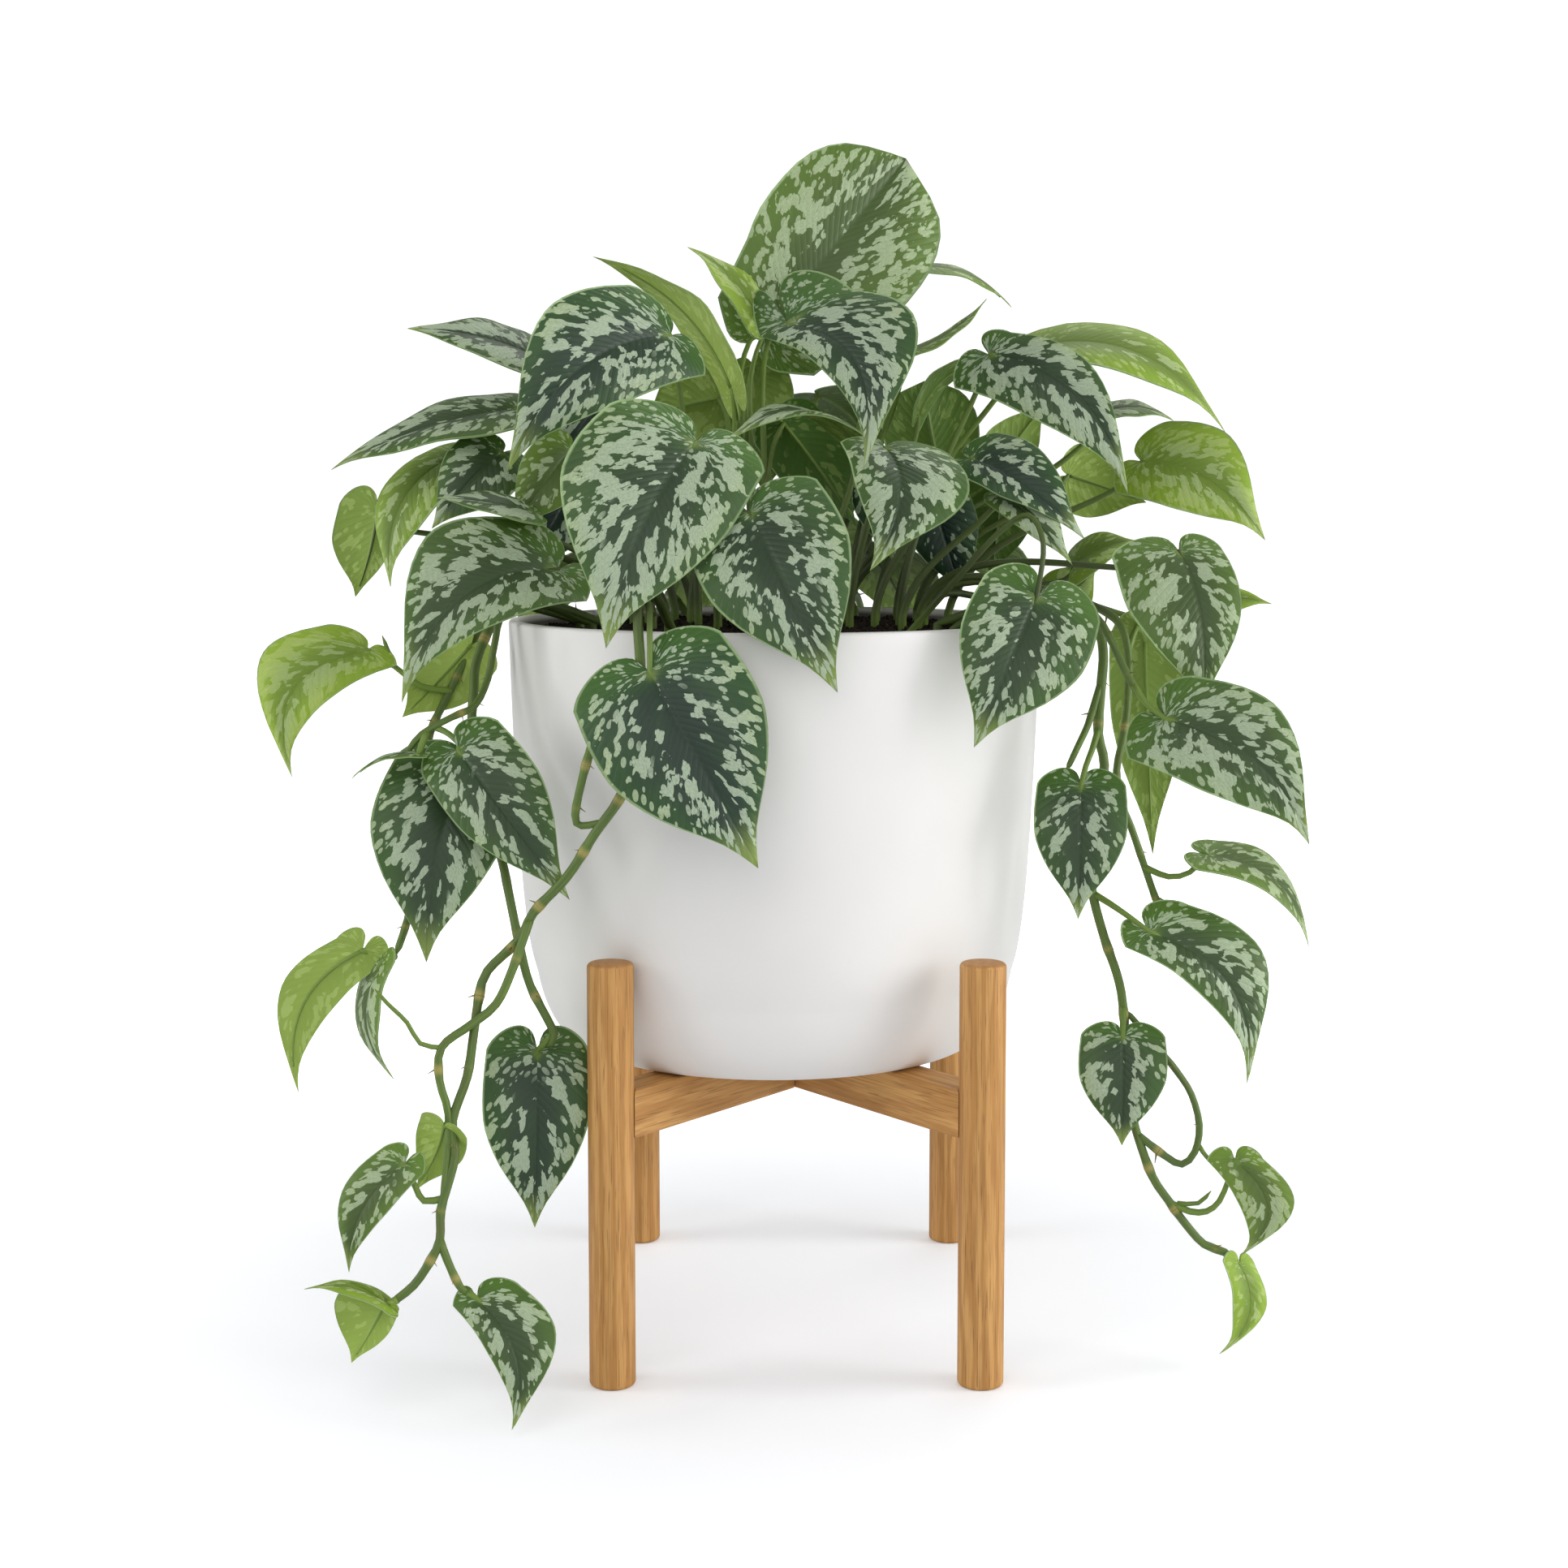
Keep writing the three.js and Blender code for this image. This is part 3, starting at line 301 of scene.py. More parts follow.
def leafTopMaterial(groups):
    top, w, shader = newMaterial("leafTop", {"IOR": 1.43})
    share, along, lit, veins, marks, height = bladeReadings(w, groups)
    cloud = w.noise(veins, 0.06, 2, plane=True)
    outward = w.plus(w.step(share, 0.2, 1.0), w.times(w.minus(cloud, 0.5), 1.2))
    outward = w.math("MINIMUM", w.math("MAXIMUM", outward, 0.0), 1.0)
    base = w.mix(outward, leafColours["deep"], leafColours["mid"])
    base = w.mix(w.step(along, 0.12, -0.08), base, leafColours["lobe"])
    # painted light: leaves of high tone turn to the lit yellow green, more so towards the margin
    lightness = w.math("POWER", lit, 1.5)
    litHere = w.times(lightness, w.plus(0.6, w.times(w.step(share, 0.1, 0.9), 0.4)))
    base = w.mix(litHere, base, leafColours["lit"])
    base = w.mix(w.step(along, 0.74, 0.99, 0.0, 0.75), base, leafColours["tip"])
    fromSinus = w.plus(share, w.times(w.size(along), 6))
    base = w.mix(w.step(fromSinus, 0.45, 0.05, 0.0, 0.5), base, leafColours["tip"])

    grain = w.noise(veins, 1.1, 3, plane=True)
    silver = w.mix(w.math("MAXIMUM", litHere, w.step(share, 0.5, 1.0, 0.0, 0.3)),
                   leafColours["silver"], leafColours["litSilver"])
    silver = w.mix(w.step(grain, 0.35, 0.75, 0.0, 0.26), silver, base)
    strength = w.minus(0.94, w.times(lightness, 0.3))
    colour = w.mix(w.times(marks["Blotches"], strength), base, silver)
    colour = w.mix(w.times(marks["Dots"], w.times(strength, 0.85)), colour, silver)
    colour = w.mix(w.step(share, *rimBand, 0.0, 0.8), colour, leafColours["rim"])
    roughness = w.plus(w.step(lightness, 0.0, 1.0, 0.34, 0.46), w.times(grain, 0.16))
    dress(w, shader, colour, roughness, w.bump(height, leafRelief["strength"], leafRelief["depth"]))
    return top


def leafUnderMaterial(groups):
    under, w, shader = newMaterial("leafUnder", {"IOR": 1.4})
    share, _, lit, veins, marks, height = bladeReadings(w, groups)
    # painted light and shade: with the leaf's tone, the underside goes from a shaded dark green to a lit pale
    # green
    base = w.mix(lit, leafColours["underDeep"], leafColours["under"])
    mottle = w.math("MAXIMUM", marks["Blotches"], marks["Dots"])
    colour = w.mix(w.times(mottle, w.step(lit, 0.0, 1.0, 0.2, 0.5)), base, leafColours["underLit"])
    colour = w.mix(w.step(share, 0.06, 0.0, 0.0, 0.6), colour, leafColours["rim"])
    colour = w.mix(w.step(share, *rimBand, 0.0, 0.5), colour, leafColours["rim"])
    roughness = w.plus(0.5, w.times(w.noise(veins, 1.1, 2, plane=True), 0.15))
    turned = w.times(height, -1)
    dress(w, shader, colour, roughness, w.bump(turned, leafRelief["strength"], leafRelief["depth"]))
    return under


# The darkest stem colour paints the shade in the crown over the soil, as well as the old sheaths.
stemColours = dict(vine="#45592a", young="#75903a", knot="#a79a55", scar="#5f5630", sheath="#2b3315")


def vineMaterial():
    green, w, shader = newMaterial("vineSkin", {"IOR": 1.45})
    knot, young, _ = w.separate(w.uv("blade"))
    skin = w.uv("veins")
    streaks = w.noise(w.stretch(skin, (1.6, 0.05, 0)), 1.0, 2, plane=True)
    patches = w.noise(skin, 0.09, 2, plane=True)
    colour = w.mix(young, stemColours["vine"], stemColours["young"])
    colour = w.mix(w.step(streaks, 0.4, 0.75, 0.0, 0.45), colour, stemColours["young"])
    colour = w.mix(w.step(patches, 0.55, 0.8, 0.0, 0.35), colour, stemColours["scar"])
    above = w.separate(w.objectPlace())[2]
    shadeOverSoil = w.times(w.step(above, 0.325, 0.345), w.step(above, 0.44, 0.35))  # painted shade over the soil, where the crown shades the stems, together with their darker old sheaths
    # painted shade: stems and stalks are darkened in a band over the soil
    colour = w.mix(w.times(shadeOverSoil, 0.8), colour, stemColours["sheath"])
    colour = w.mix(w.step(knot, 0.25, 0.9, 0.0, 0.75), colour, stemColours["knot"])
    colour = w.mix(w.step(knot, 0.9, 1.0, 0.0, 0.6), colour, stemColours["scar"])
    dress(w, shader, colour, w.plus(0.42, w.times(streaks, 0.2)), w.bump(streaks, 0.4, 0.0004))
    return green


oak = dict(light="#cf9d5b", mid="#b17c3c", dark="#8e602f", pore="#74491f", end="#a8743d",
           drift=(9, 9, 3.5), fibres=(1400, 1400, 26), cloud=(60, 60, 9), pores=(1900, 1900, 60))


# Colour, height and roughness of oak whose grain runs along Z of the given vector, in metres.
def grainGroup():
    tree, w, given, out = newGroup("oakGrain", dict(Vector="Vector", Wear="Float"),
                                   dict(Color="Color", Height="Float", Roughness="Float"))
    place = given["Vector"]
    drift = w.add("ShaderNodeTexNoise", {"Vector": w.stretch(place, oak["drift"]), "Scale": 1.0,
                                         "Detail": 1.0})
    bent = w.vector("ADD", place, w.stretch(drift.outputs["Color"], (0.012, 0.012, 0)))
    rings = w.add("ShaderNodeTexWave", {"Vector": w.stretch(bent, (1, 1, 0.12)), "Scale": 62.0,
                                        "Distortion": 6.0, "Detail": 3.0, "Detail Scale": 2.2},
                  wave_type="BANDS", bands_direction="X").outputs["Fac"]
    fibres = w.noise(w.stretch(place, oak["fibres"]))
    cloud = w.noise(w.stretch(place, oak["cloud"]))
    pores = w.step(w.noise(w.stretch(place, oak["pores"]), detail=1), 0.62, 0.7)
    colour = w.mix(w.step(rings, 0.1, 0.95, 0.0, 0.75), oak["light"], oak["mid"])
    colour = w.mix(w.step(cloud, 0.35, 0.75, 0.0, 0.5), colour, oak["mid"])
    colour = w.mix(w.step(fibres, 0.42, 0.75, 0.0, 0.5), colour, oak["dark"])
    colour = w.mix(w.times(pores, 0.5), colour, oak["pore"])
    colour = w.mix(w.times(given["Wear"], 0.6), colour, oak["end"])
    w.feed(out["Color"], colour)
    w.feed(out["Height"], w.minus(w.times(fibres, 0.6), w.times(pores, 0.8)))
    w.feed(out["Roughness"], w.plus(0.45, w.times(fibres, 0.2)))
    return tree


# Oak with its grain upright, or along a bar at the given turn. From the height endFrom it shows end grain.
def oakMaterial(name, grain, turn=None, endFrom=None):
    material, w, shader = newMaterial(name, {"IOR": 1.48})
    place = w.objectPlace()
    wear = w.step(w.separate(place)[2], endFrom, endFrom + 0.001) if endFrom else 0.0
    if turn is not None:
        turned = w.add("ShaderNodeVectorRotate", {"Vector": place, "Angle": -turn}, rotation_type="Z_AXIS")
        x, y, z = w.separate(turned.outputs[0])
        place = w.combine(y, z, x)
    made = placeGroup(w, grain, {"Vector": place, "Wear": wear})
    dress(w, shader, made["Color"], made["Roughness"], w.bump(made["Height"], 0.35, 0.0003))
    return material


# The dark brown paints the shade on the inner wall over the soil, together with some soil dust.
glaze = dict(light="#e8e6e3", shade="#e2e0dd", pit="#cfccc6", dust="#3a2c20", dustAndShadeDepth=3)


def ceramicMaterial():
    shine = {"IOR": 1.5, "Coat Weight": 0.12, "Coat Roughness": 0.35}
    material, w, shader = newMaterial("ceramicWhite", shine)
    place = w.objectPlace()
    cloud = w.noise(place, 9.0, 3)
    speck = w.noise(place, 620.0)
    pits = w.step(w.noise(place, 900.0, 1), 0.72, 0.78)
    colour = w.mix(w.step(cloud, 0.3, 0.7), glaze["light"], glaze["shade"])
    colour = w.mix(w.times(pits, 0.12), colour, glaze["pit"])
    # painted shade with some soil dust on the wall inside the rim, from a little under the rim down to the
    # soil
    east, north, up = w.separate(place)
    eastOfAxis = w.minus(east, pot["axisX"] * metre)
    fromAxis = w.math("SQRT", w.plus(w.math("POWER", eastOfAxis, 2.0), w.times(north, north)))
    wallInside = (pot["radius"] - pot["wall"]) * metre
    ragged = w.plus(up, w.times(cloud, 0.002))
    underRim = w.step(ragged, pot["top"] * metre, (pot["top"] - glaze["dustAndShadeDepth"]) * metre)
    overSoil = w.step(up, (soil["top"] - 20) * metre, (soil["top"] - 18) * metre)
    dust = w.times(w.step(fromAxis, wallInside + 0.001, wallInside), w.times(underRim, overSoil))
    colour = w.mix(w.times(dust, 0.9), colour, glaze["dust"])
    throwing = w.noise(w.stretch(place, (2, 2, 40)))
    height = w.plus(throwing, w.times(speck, 0.12))
    dress(w, shader, colour, w.plus(0.42, w.times(cloud, 0.14)), w.bump(height, 0.12, 0.0008))
    return material


def soilMaterial():
    material, w, shader = newMaterial("pottingSoil", {"IOR": 1.3})
    place = w.objectPlace()
    crumbs = w.noise(place, 260.0, 4, 0.65)
    fibre = w.noise(w.stretch(place, (300, 900, 500)), detail=1)
    colour = w.mix(w.step(crumbs, 0.35, 0.7), soil["dark"], soil["light"])
    colour = w.mix(w.step(fibre, 0.68, 0.76, 0.0, 0.6), colour, soil["fibre"])
    dress(w, shader, colour, w.plus(0.75, w.times(crumbs, 0.2)), w.bump(crumbs, 0.8, 0.0015))
    return material


def rootletMaterial():
    material, w, shader = newMaterial("driedRootlet", {"IOR": 1.4})
    place = w.objectPlace()
    colour = w.mix(w.noise(place, 500.0), rootlets["green"], rootlets["dry"])
    dress(w, shader, colour, w.plus(0.6, w.times(w.noise(place, 900.0, 1), 0.2)))
    return material


# A pale floor that the camera sees melt into the background. It glows for the camera only, a painted light
# that is weak near the object and full far away, so the floor stays darker around the object.
ground = dict(radius=9.0, sides=96, colour="#e6e9ee", paler="#eff1f5", glow=(0.21, 1.0),
              glowBetween=(0.12, 0.85))


def floorMaterial():
    material, w, shader = newMaterial("paleFloor", {"Emission Color": white})
    seen = w.add("ShaderNodeLightPath").outputs["Is Camera Ray"]
    place = w.objectPlace()
    away = w.add("ShaderNodeVectorMath", {0: place}, operation="LENGTH").outputs["Value"]
    # painted light: the glow grows with the distance from the object
    glow = w.step(away, *ground["glowBetween"], *ground["glow"])
    w.feed(shader.inputs["Emission Strength"], w.times(seen, glow))
    colour = w.mix(w.noise(place, 3.0), ground["colour"], ground["paler"])
    dress(w, shader, colour, w.plus(0.7, w.times(w.noise(place, 40.0), 0.1)))
    return material


def addFloor():
    radius = ground["radius"] / metre
    points, faces = latheMesh([(0, 0), (radius / 20, 0), (radius, 0)], ground["sides"], (0, 0))
    floor = addPiece("studioFloor", points, [face[::-1] for face in faces], [floorMaterial()])


# A new object of points in millimetres. With a slot name it is finished at once.
def addPiece(name, points, faces, materials, slotName=None, nodes=(), faceSlots=None, smooth=True):
    mesh = bpy.data.meshes.new(name)
    mesh.from_pydata([tuple(float(c) * metre for c in p) for p in points], [], faces)
    for material in materials:
        mesh.materials.append(material)
    if faceSlots is not None:
        mesh.polygons.foreach_set("material_index", faceSlots)
    mesh.polygons.foreach_set("use_smooth", [smooth] * len(faces))
    mesh.update()
    piece = bpy.data.objects.new(name, mesh)
    bpy.context.scene.collection.objects.link(piece)
    if slotName:
        finishPiece(piece, nodes)
    return piece


def finishPiece(piece, nodes=()):
    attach(piece, "root")
    if nodes:
        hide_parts(*nodes)


# Makes the modifiers' result the piece's own mesh.
def applyModifiers(piece):
    bpy.context.view_layer.update()
    finished = bpy.data.meshes.new_from_object(piece.evaluated_get(bpy.context.evaluated_depsgraph_get()))
    piece.modifiers.clear()
    piece.data = finished


# Points and faces of a closed turned shape. The profile runs from the axis outside and back to the axis.
def latheMesh(profile, sides, centre):
    points, faces, rings = [], [], []
    for r, z in profile:
        if r < 1e-6:
            rings.append([len(points)] * sides)
            points.append((centre[0], centre[1], z))
            continue
        rings.append(list(range(len(points), len(points) + sides)))
        for k in range(sides):
            turn = 2 * math.pi * k / sides
            points.append((centre[0] + r * math.cos(turn), centre[1] + r * math.sin(turn), z))
    for low, high in zip(rings, rings[1:]):
        for k in range(sides):
            n = (k + 1) % sides
            corners = [low[k], low[n], high[n], high[k]]
            faces.append(list(dict.fromkeys(corners)))
    return points, [face for face in faces if len(face) > 2]


# Points of a rounded corner about its centre, with turns in degrees.
def roundCorner(centre, fromTurn, toTurn, radius, steps=5):
    turns = [math.radians(fromTurn + (toTurn - fromTurn) * k / steps) for k in range(steps + 1)]
    return [(centre[0] + radius * math.cos(a), centre[1] + radius * math.sin(a)) for a in turns]


def camel(name):
    first, *rest = name.split("_")
    return first + "".join(word.capitalize() for word in rest)


# Starts a tree of Geometry Nodes that takes a shape and further named inputs.
def newShapeTree(name, inputs):
    tree = bpy.data.node_groups.new(name, "GeometryNodeTree")
    tree.is_modifier = True
    for socket, kind in (("Geometry", "Geometry"), *inputs.items()):
        tree.interface.new_socket(socket, in_out="INPUT", socket_type="NodeSocket" + kind)
    tree.interface.new_socket("Geometry", in_out="OUTPUT", socket_type="NodeSocketGeometry")
    w = NodeWriter(tree)
    return tree, w, w.add("NodeGroupInput").outputs


def endShapeTree(w, shape, material):
    painted = w.add("GeometryNodeSetMaterial", {"Geometry": shape})
    painted.inputs["Material"].default_value = material
    w.feed(w.add("NodeGroupOutput").inputs[0], painted.outputs[0])


# Runs a tree on a piece with its inputs set by name.
def addShapeTree(piece, name, tree, values):
    modifier = piece.modifiers.new(name, "NODES")
    modifier.node_group = tree
    for item in tree.interface.items_tree:
        if item.in_out == "INPUT" and item.name in values:
            modifier[item.identifier] = values[item.name]
    applyModifiers(piece)


stand = dict(axisX=5.5, legRadius=10.2, legTop=188.5, legRing=133.8, azimuth=52.7, rounding=2.0, sides=56,
             legSteps=12, endGrain=1.2, barHeight=21, barWidth=19, gap=0.3, barRounding=0.8, barSlices=8)


# The turn of each leg about the stand's axis, in radians.
def legTurns():
    azimuth = stand["azimuth"]
    turns = dict(front_left=180 + azimuth, front_right=-azimuth, back_right=azimuth, back_left=180 - azimuth)
    return {name: math.radians(turn) for name, turn in turns.items()}


def addLegs(grain):
    upright = oakMaterial("oakUpright", grain, endFrom=(stand["legTop"] - stand["endGrain"]) * metre)
    r, top, edge, steps = stand["legRadius"], stand["legTop"], stand["rounding"], stand["legSteps"]
    profile = [(0, 0), (r - edge - 1, 0), *roundCorner((r - edge, edge), -90, 0, edge),
               *[(r, edge + (top - 2 * edge) * k / steps) for k in range(1, steps)],
               *roundCorner((r - edge, top - edge), 0, 90, edge), (r - edge - 1, top), (0, top)]
    for name, turn in legTurns().items():
        centre = (stand["axisX"] + stand["legRing"] * math.cos(turn), stand["legRing"] * math.sin(turn))
        points, faces = latheMesh(profile, stand["sides"], centre)
        addPiece(camel("leg_" + name + "_wood"), points, faces, [upright], "oak", ["leg_" + name])


# Side outline of one bar, with the notch of the half lap in its underside or in its top.
def barOutline(half, left, right, upper):
    top = pot["bottom"] - stand["gap"]
    low = top - stand["barHeight"]
    middle, give = (top + low) / 2, stand["gap"] / 2
    if upper:
        return [(-half, low), (left, low), (left, middle + give), (right, middle + give),
                (right, low), (half, low), (half, top), (-half, top)]
    return [(-half, low), (half, low), (half, top), (right, top), (right, middle - give),
            (left, middle - give), (left, top), (-half, top)]


# One bar in upright slices along its width. Its ends are hollowed to the round legs and its notch lies along
# the other bar.
def barMesh(turn, otherTurn, upper):
    cosTurn, sinTurn = math.cos(turn), math.sin(turn)
    hollow = stand["legRadius"] + stand["gap"]
    lap = stand["barWidth"] / 2 + stand["gap"]
    slices = stand["barSlices"]
    points = []
    for k in range(slices + 1):
        y = stand["barWidth"] * (k / slices - 0.5)
        half = stand["legRing"] - math.sqrt(hollow ** 2 - y * y)
        cross = otherTurn - turn
        left, right = sorted((y * math.cos(cross) + way * lap) / math.sin(cross) for way in (-1, 1))
        outline = barOutline(half, left, right, upper)
        points += [(stand["axisX"] + x * cosTurn - y * sinTurn, x * sinTurn + y * cosTurn, z)
                   for x, z in outline]
    count = len(outline)
    faces = [list(range(count)), list(range((slices + 1) * count - 1, slices * count - 1, -1))]
    for k in range(slices):
        for i in range(count):
            n = (i + 1) % count
            faces.append([k * count + i, (k + 1) * count + i, (k + 1) * count + n, k * count + n])
    return points, faces


def addBars(grain):
    turns = legTurns()
    for name, along, across, upper in (("upper", "front_left", "front_right", True),
                                       ("lower", "front_right", "front_left", False)):
        wood = oakMaterial("oak" + name.capitalize() + "Bar", grain, turn=turns[along])
        points, faces = barMesh(turns[along], turns[across], upper)
        bar = addPiece("bar" + name.capitalize() + "Wood", points, faces, [wood], smooth=False)
        bevel = bar.modifiers.new("softEdges", "BEVEL")
        bevel.width = stand["barRounding"] * metre
        bevel.segments = 3
        bevel.limit_method = "ANGLE"
        bevel.harden_normals = True
        applyModifiers(bar)
        finishPiece(bar, ["bar_" + name])


# The wall's points give its radius and its height over the pot's bottom.
pot = dict(axisX=-4.5, radius=125, bottom=132, top=332.6, wall=6, floor=10, lip=1.6, footRadius=87, fillet=27,
           filletHeight=50, filletTurn=72, wallPoints=[(116, 48), (119, 72), (121.4, 108), (123.3, 148)],
           sides=144)


def potProfile():
    radius, top, bottom, wall, lip = (pot[key] for key in ("radius", "top", "bottom", "wall", "lip"))
    turns = [math.radians(pot["filletTurn"] * k / 24) for k in range(25)]
    foot, fillet, rise = pot["footRadius"], pot["fillet"], pot["filletHeight"]
    curve = [(foot + fillet * math.sin(a), bottom + rise * (1 - math.cos(a))) for a in turns]
    knots = [curve[-1], *[(r, bottom + height) for r, height in pot["wallPoints"]], (radius, top - lip)]
    outer = [(float(p[0]), float(p[1])) for p in smoothPath([np.array(p, float) for p in knots], 6)][1:]
    rim = [*roundCorner((radius - lip, top - lip), 0, 90, lip)[1:],
           *roundCorner((radius - wall + lip, top - lip), 90, 180, lip)]
    inFloor = bottom + pot["floor"]
    inside = [(r - wall, z) for r, z in reversed(outer[:-1]) if z > inFloor]
    inside += [(r - wall, z) for r, z in reversed(curve) if z > inFloor + 1]
    return [(0, bottom), (foot - 2, bottom), *curve, *outer, *rim, *inside,
            (inside[-1][0] - 2, inFloor), (0, inFloor)]


def addPot():
    points, faces = latheMesh(potProfile(), pot["sides"], (pot["axisX"], 0))
    addPiece("potCeramic", points, faces, [ceramicMaterial()], "ceramic", ["pot"])


soil = dict(top=326, crown=5, rough=1.6, gap=0.2, depth=12, rings=34, sides=110, crumbs=3400, crumbSize=1.9,
            smallest=(0.35, 0.35, 0.25), largest=(1.5, 1.1, 0.9), seed=11,
            dark="#0f0b07", light="#291d13", fibre="#6b5237")


def soilHeight(x, y):
    inside = pot["radius"] - pot["wall"]
    return soil["top"] + soil["crown"] * (1 - ((x - pot["axisX"]) ** 2 + y ** 2) / inside ** 2)


# Crumbs of soil scattered over a surface.
def crumbTree(material):
    tree, w, given = newShapeTree("soilCrumbs", {"Density": "Float", "Crumb size": "Float", "Seed": "Int"})
    scatter = w.add("GeometryNodeDistributePointsOnFaces",
                    {"Mesh": given["Geometry"], "Density": given["Density"], "Seed": given["Seed"]})
    crumb = w.add("GeometryNodeMeshIcoSphere", {"Radius": given["Crumb size"], "Subdivisions": 1})
    turn = w.add("FunctionNodeRandomValue", {"Seed": given["Seed"]}, data_type="FLOAT_VECTOR")
    turn.inputs["Max"].default_value = (6.28, 6.28, 6.28)
    size = w.add("FunctionNodeRandomValue", {"Seed": given["Seed"]}, data_type="FLOAT_VECTOR")
    size.inputs["Min"].default_value = soil["smallest"]
    size.inputs["Max"].default_value = soil["largest"]
    spread = w.add("GeometryNodeInstanceOnPoints",
                   {"Points": scatter.outputs["Points"], "Instance": crumb.outputs["Mesh"],
                    "Rotation": turn.outputs["Value"], "Scale": size.outputs["Value"]})
    real = w.add("GeometryNodeRealizeInstances", {"Geometry": spread.outputs[0]})
    joined = w.add("GeometryNodeJoinGeometry", {0: given["Geometry"]})
    w.feed(joined.inputs[0], real.outputs[0])
    endShapeTree(w, joined.outputs[0], material)
    return tree


def addSoil():
    material = soilMaterial()
    rng = random.Random(soil["seed"])
    edge, top, rings = pot["radius"] - pot["wall"] - soil["gap"], soil["top"], soil["rings"]
    radii = [edge * k / rings for k in range(1, rings + 1)]
    profile = [(0, top + soil["crown"]), *[(r, soilHeight(pot["axisX"] + r, 0)) for r in radii],
               (edge - 1, top - soil["depth"]), (0, top - soil["depth"] - 2)]
    points, faces = latheMesh(profile, soil["sides"], (pot["axisX"], 0))
    bumpy = []
    for x, y, z in points:
        inner = math.hypot(x - pot["axisX"], y) < edge - 1.5 and z > top - 5
        bumpy.append((x, y, z + (rng.uniform(-1, 0.4) * soil["rough"] if inner else 0)))
    bed = addPiece("soilBed", bumpy, [face[::-1] for face in faces], [material])
    area = math.pi * (edge * metre) ** 2
    addShapeTree(bed, "crumbs", crumbTree(material), {"Density": soil["crumbs"] / area, "Seed": soil["seed"],
                                                      "Crumb size": soil["crumbSize"] * metre})
    bed.data.polygons.foreach_set("use_smooth", [False] * len(bed.data.polygons))
    finishPiece(bed, ["soil"])


foliage = dict(bladeThickness=1.0, rimThickness=0.55, rowSteps=3, fold=0.3, cup=0.3, arch=0.12, lobe=0.13,
               shares=(0.05, 0.16, 0.32, 0.5, 0.68, 0.84, 0.95, 1.0), wave=0.011, waveCounts=(1.2, 2.4),
               veinSlopes=(0.3, 2.7), rootDepth=16, seed=5)
stalks = dict(radius=1.6, foot=2.0, end=1.05, inLeaf=0.4, sides=10, knee=0.12, kneeBack=7, kneeLength=4.0)
midribs = dict(points=16, sides=6, reach=(0.015, 0.86), radii=(1.0, 0.3), drop=0.5)
vineForm = dict(radius=2.3, endShare=0.8, sides=12, slim=1.1, slimSides=10, firstKnot=34, firstFree=12,
                knotSpacing=27, lastKnot=8, knotSwell=0.2, knotLength=1.7, roundEnd=5)
viewPoint = np.array((0, -1327, 442.6))

# Half outlines by rows: the place on the midrib and at the margin as shares of the length (behind the sinus
# as a share of the lobes), and the width there as a share of the half width.
heart = [(0, 0, 0), (0.015, -0.72, 0.1), (0.04, -1, 0.32), (0.075, -0.86, 0.6), (0.12, -0.42, 0.85),
         (0.2, 0.1, 0.98), (0.3, 0.26, 1), (0.42, 0.42, 0.94), (0.62, 0.62, 0.67), (0.84, 0.84, 0.21),
         (1, 1, 0)]
roundHeart = [(0, 0, 0), (0.015, -0.8, 0.1), (0.04, -1, 0.3), (0.08, -0.55, 0.52), (0.2, 0.14, 0.79),
              (0.4, 0.4, 0.98), (0.62, 0.66, 0.98), (0.84, 0.88, 0.7), (1, 1, 0)]
skins = dict(top=0, under=1, stem=2)  # the places of the three materials on every leafy stem


def point(x, y, z):
    return np.array((x, y, z), float)


# A drawn point [across, up, depth] of the upright sheet, carried from the viewing point to its depth.
def carry(where):
    if isinstance(where, np.ndarray):
        return where.copy()
    across, up, depth = where
    scale = (depth - viewPoint[1]) / -viewPoint[1]
    return np.array((across * scale, depth, viewPoint[2] + (up - viewPoint[2]) * scale))


def unit(vector):
    return vector / np.linalg.norm(vector)


# A smooth curve through the points, with the same number of steps between them or steps of about one spacing.
def smoothPath(points, steps=None, spacing=4.5):
    path = []
    for i in range(len(points) - 1):
        before, start = points[max(i - 1, 0)], points[i]
        end, after = points[i + 1], points[min(i + 2, len(points) - 1)]
        count = steps or max(2, round(float(np.linalg.norm(end - start)) / spacing))
        leave, arrive = (end - before) / 2, (after - start) / 2
        for k in range(count):
            t = k / count
            path.append(start * (2 * t ** 3 - 3 * t ** 2 + 1) + leave * (t ** 3 - 2 * t ** 2 + t)
                        + end * (-2 * t ** 3 + 3 * t ** 2) + arrive * (t ** 3 - t ** 2))
    return path + [points[-1].copy()]


def pathLengths(path):
    steps = np.linalg.norm(np.diff(np.array(path), axis=0), axis=1)
    return np.concatenate(([0.0], np.cumsum(steps)))


def leafFrame(leaf):
    base, tip = carry(leaf["sinus"]), carry(leaf["tip"])
    length = float(np.linalg.norm(tip - base))
    along = (tip - base) / length
    facing = leaf["face"].copy() if "face" in leaf else viewPoint - base
    front = unit(facing - along * facing.dot(along))
    right = np.cross(front, along)
    roll = math.radians(leaf.get("roll", 0))
    normal = front * math.cos(roll) + right * math.sin(roll)
    return dict(base=base, length=length, along=along, normal=normal, side=np.cross(normal, along))


# Points of the midrib at the shares t of its length.
def ribPoint(leaf, axes, t):
    t = np.asarray(t, float)[..., None]
    bow = 4 * np.maximum(t, 0) * (1 - t) * axes["length"]
    sag = 4 * np.minimum(t, 0) * axes["length"]
    straight = axes["base"] + axes["along"] * t * axes["length"]
    arched = axes["normal"] * (bow + sag) * leaf.get("arch", foliage["arch"])
    return straight + arched + axes["side"] * bow * leaf.get("bend", 0)


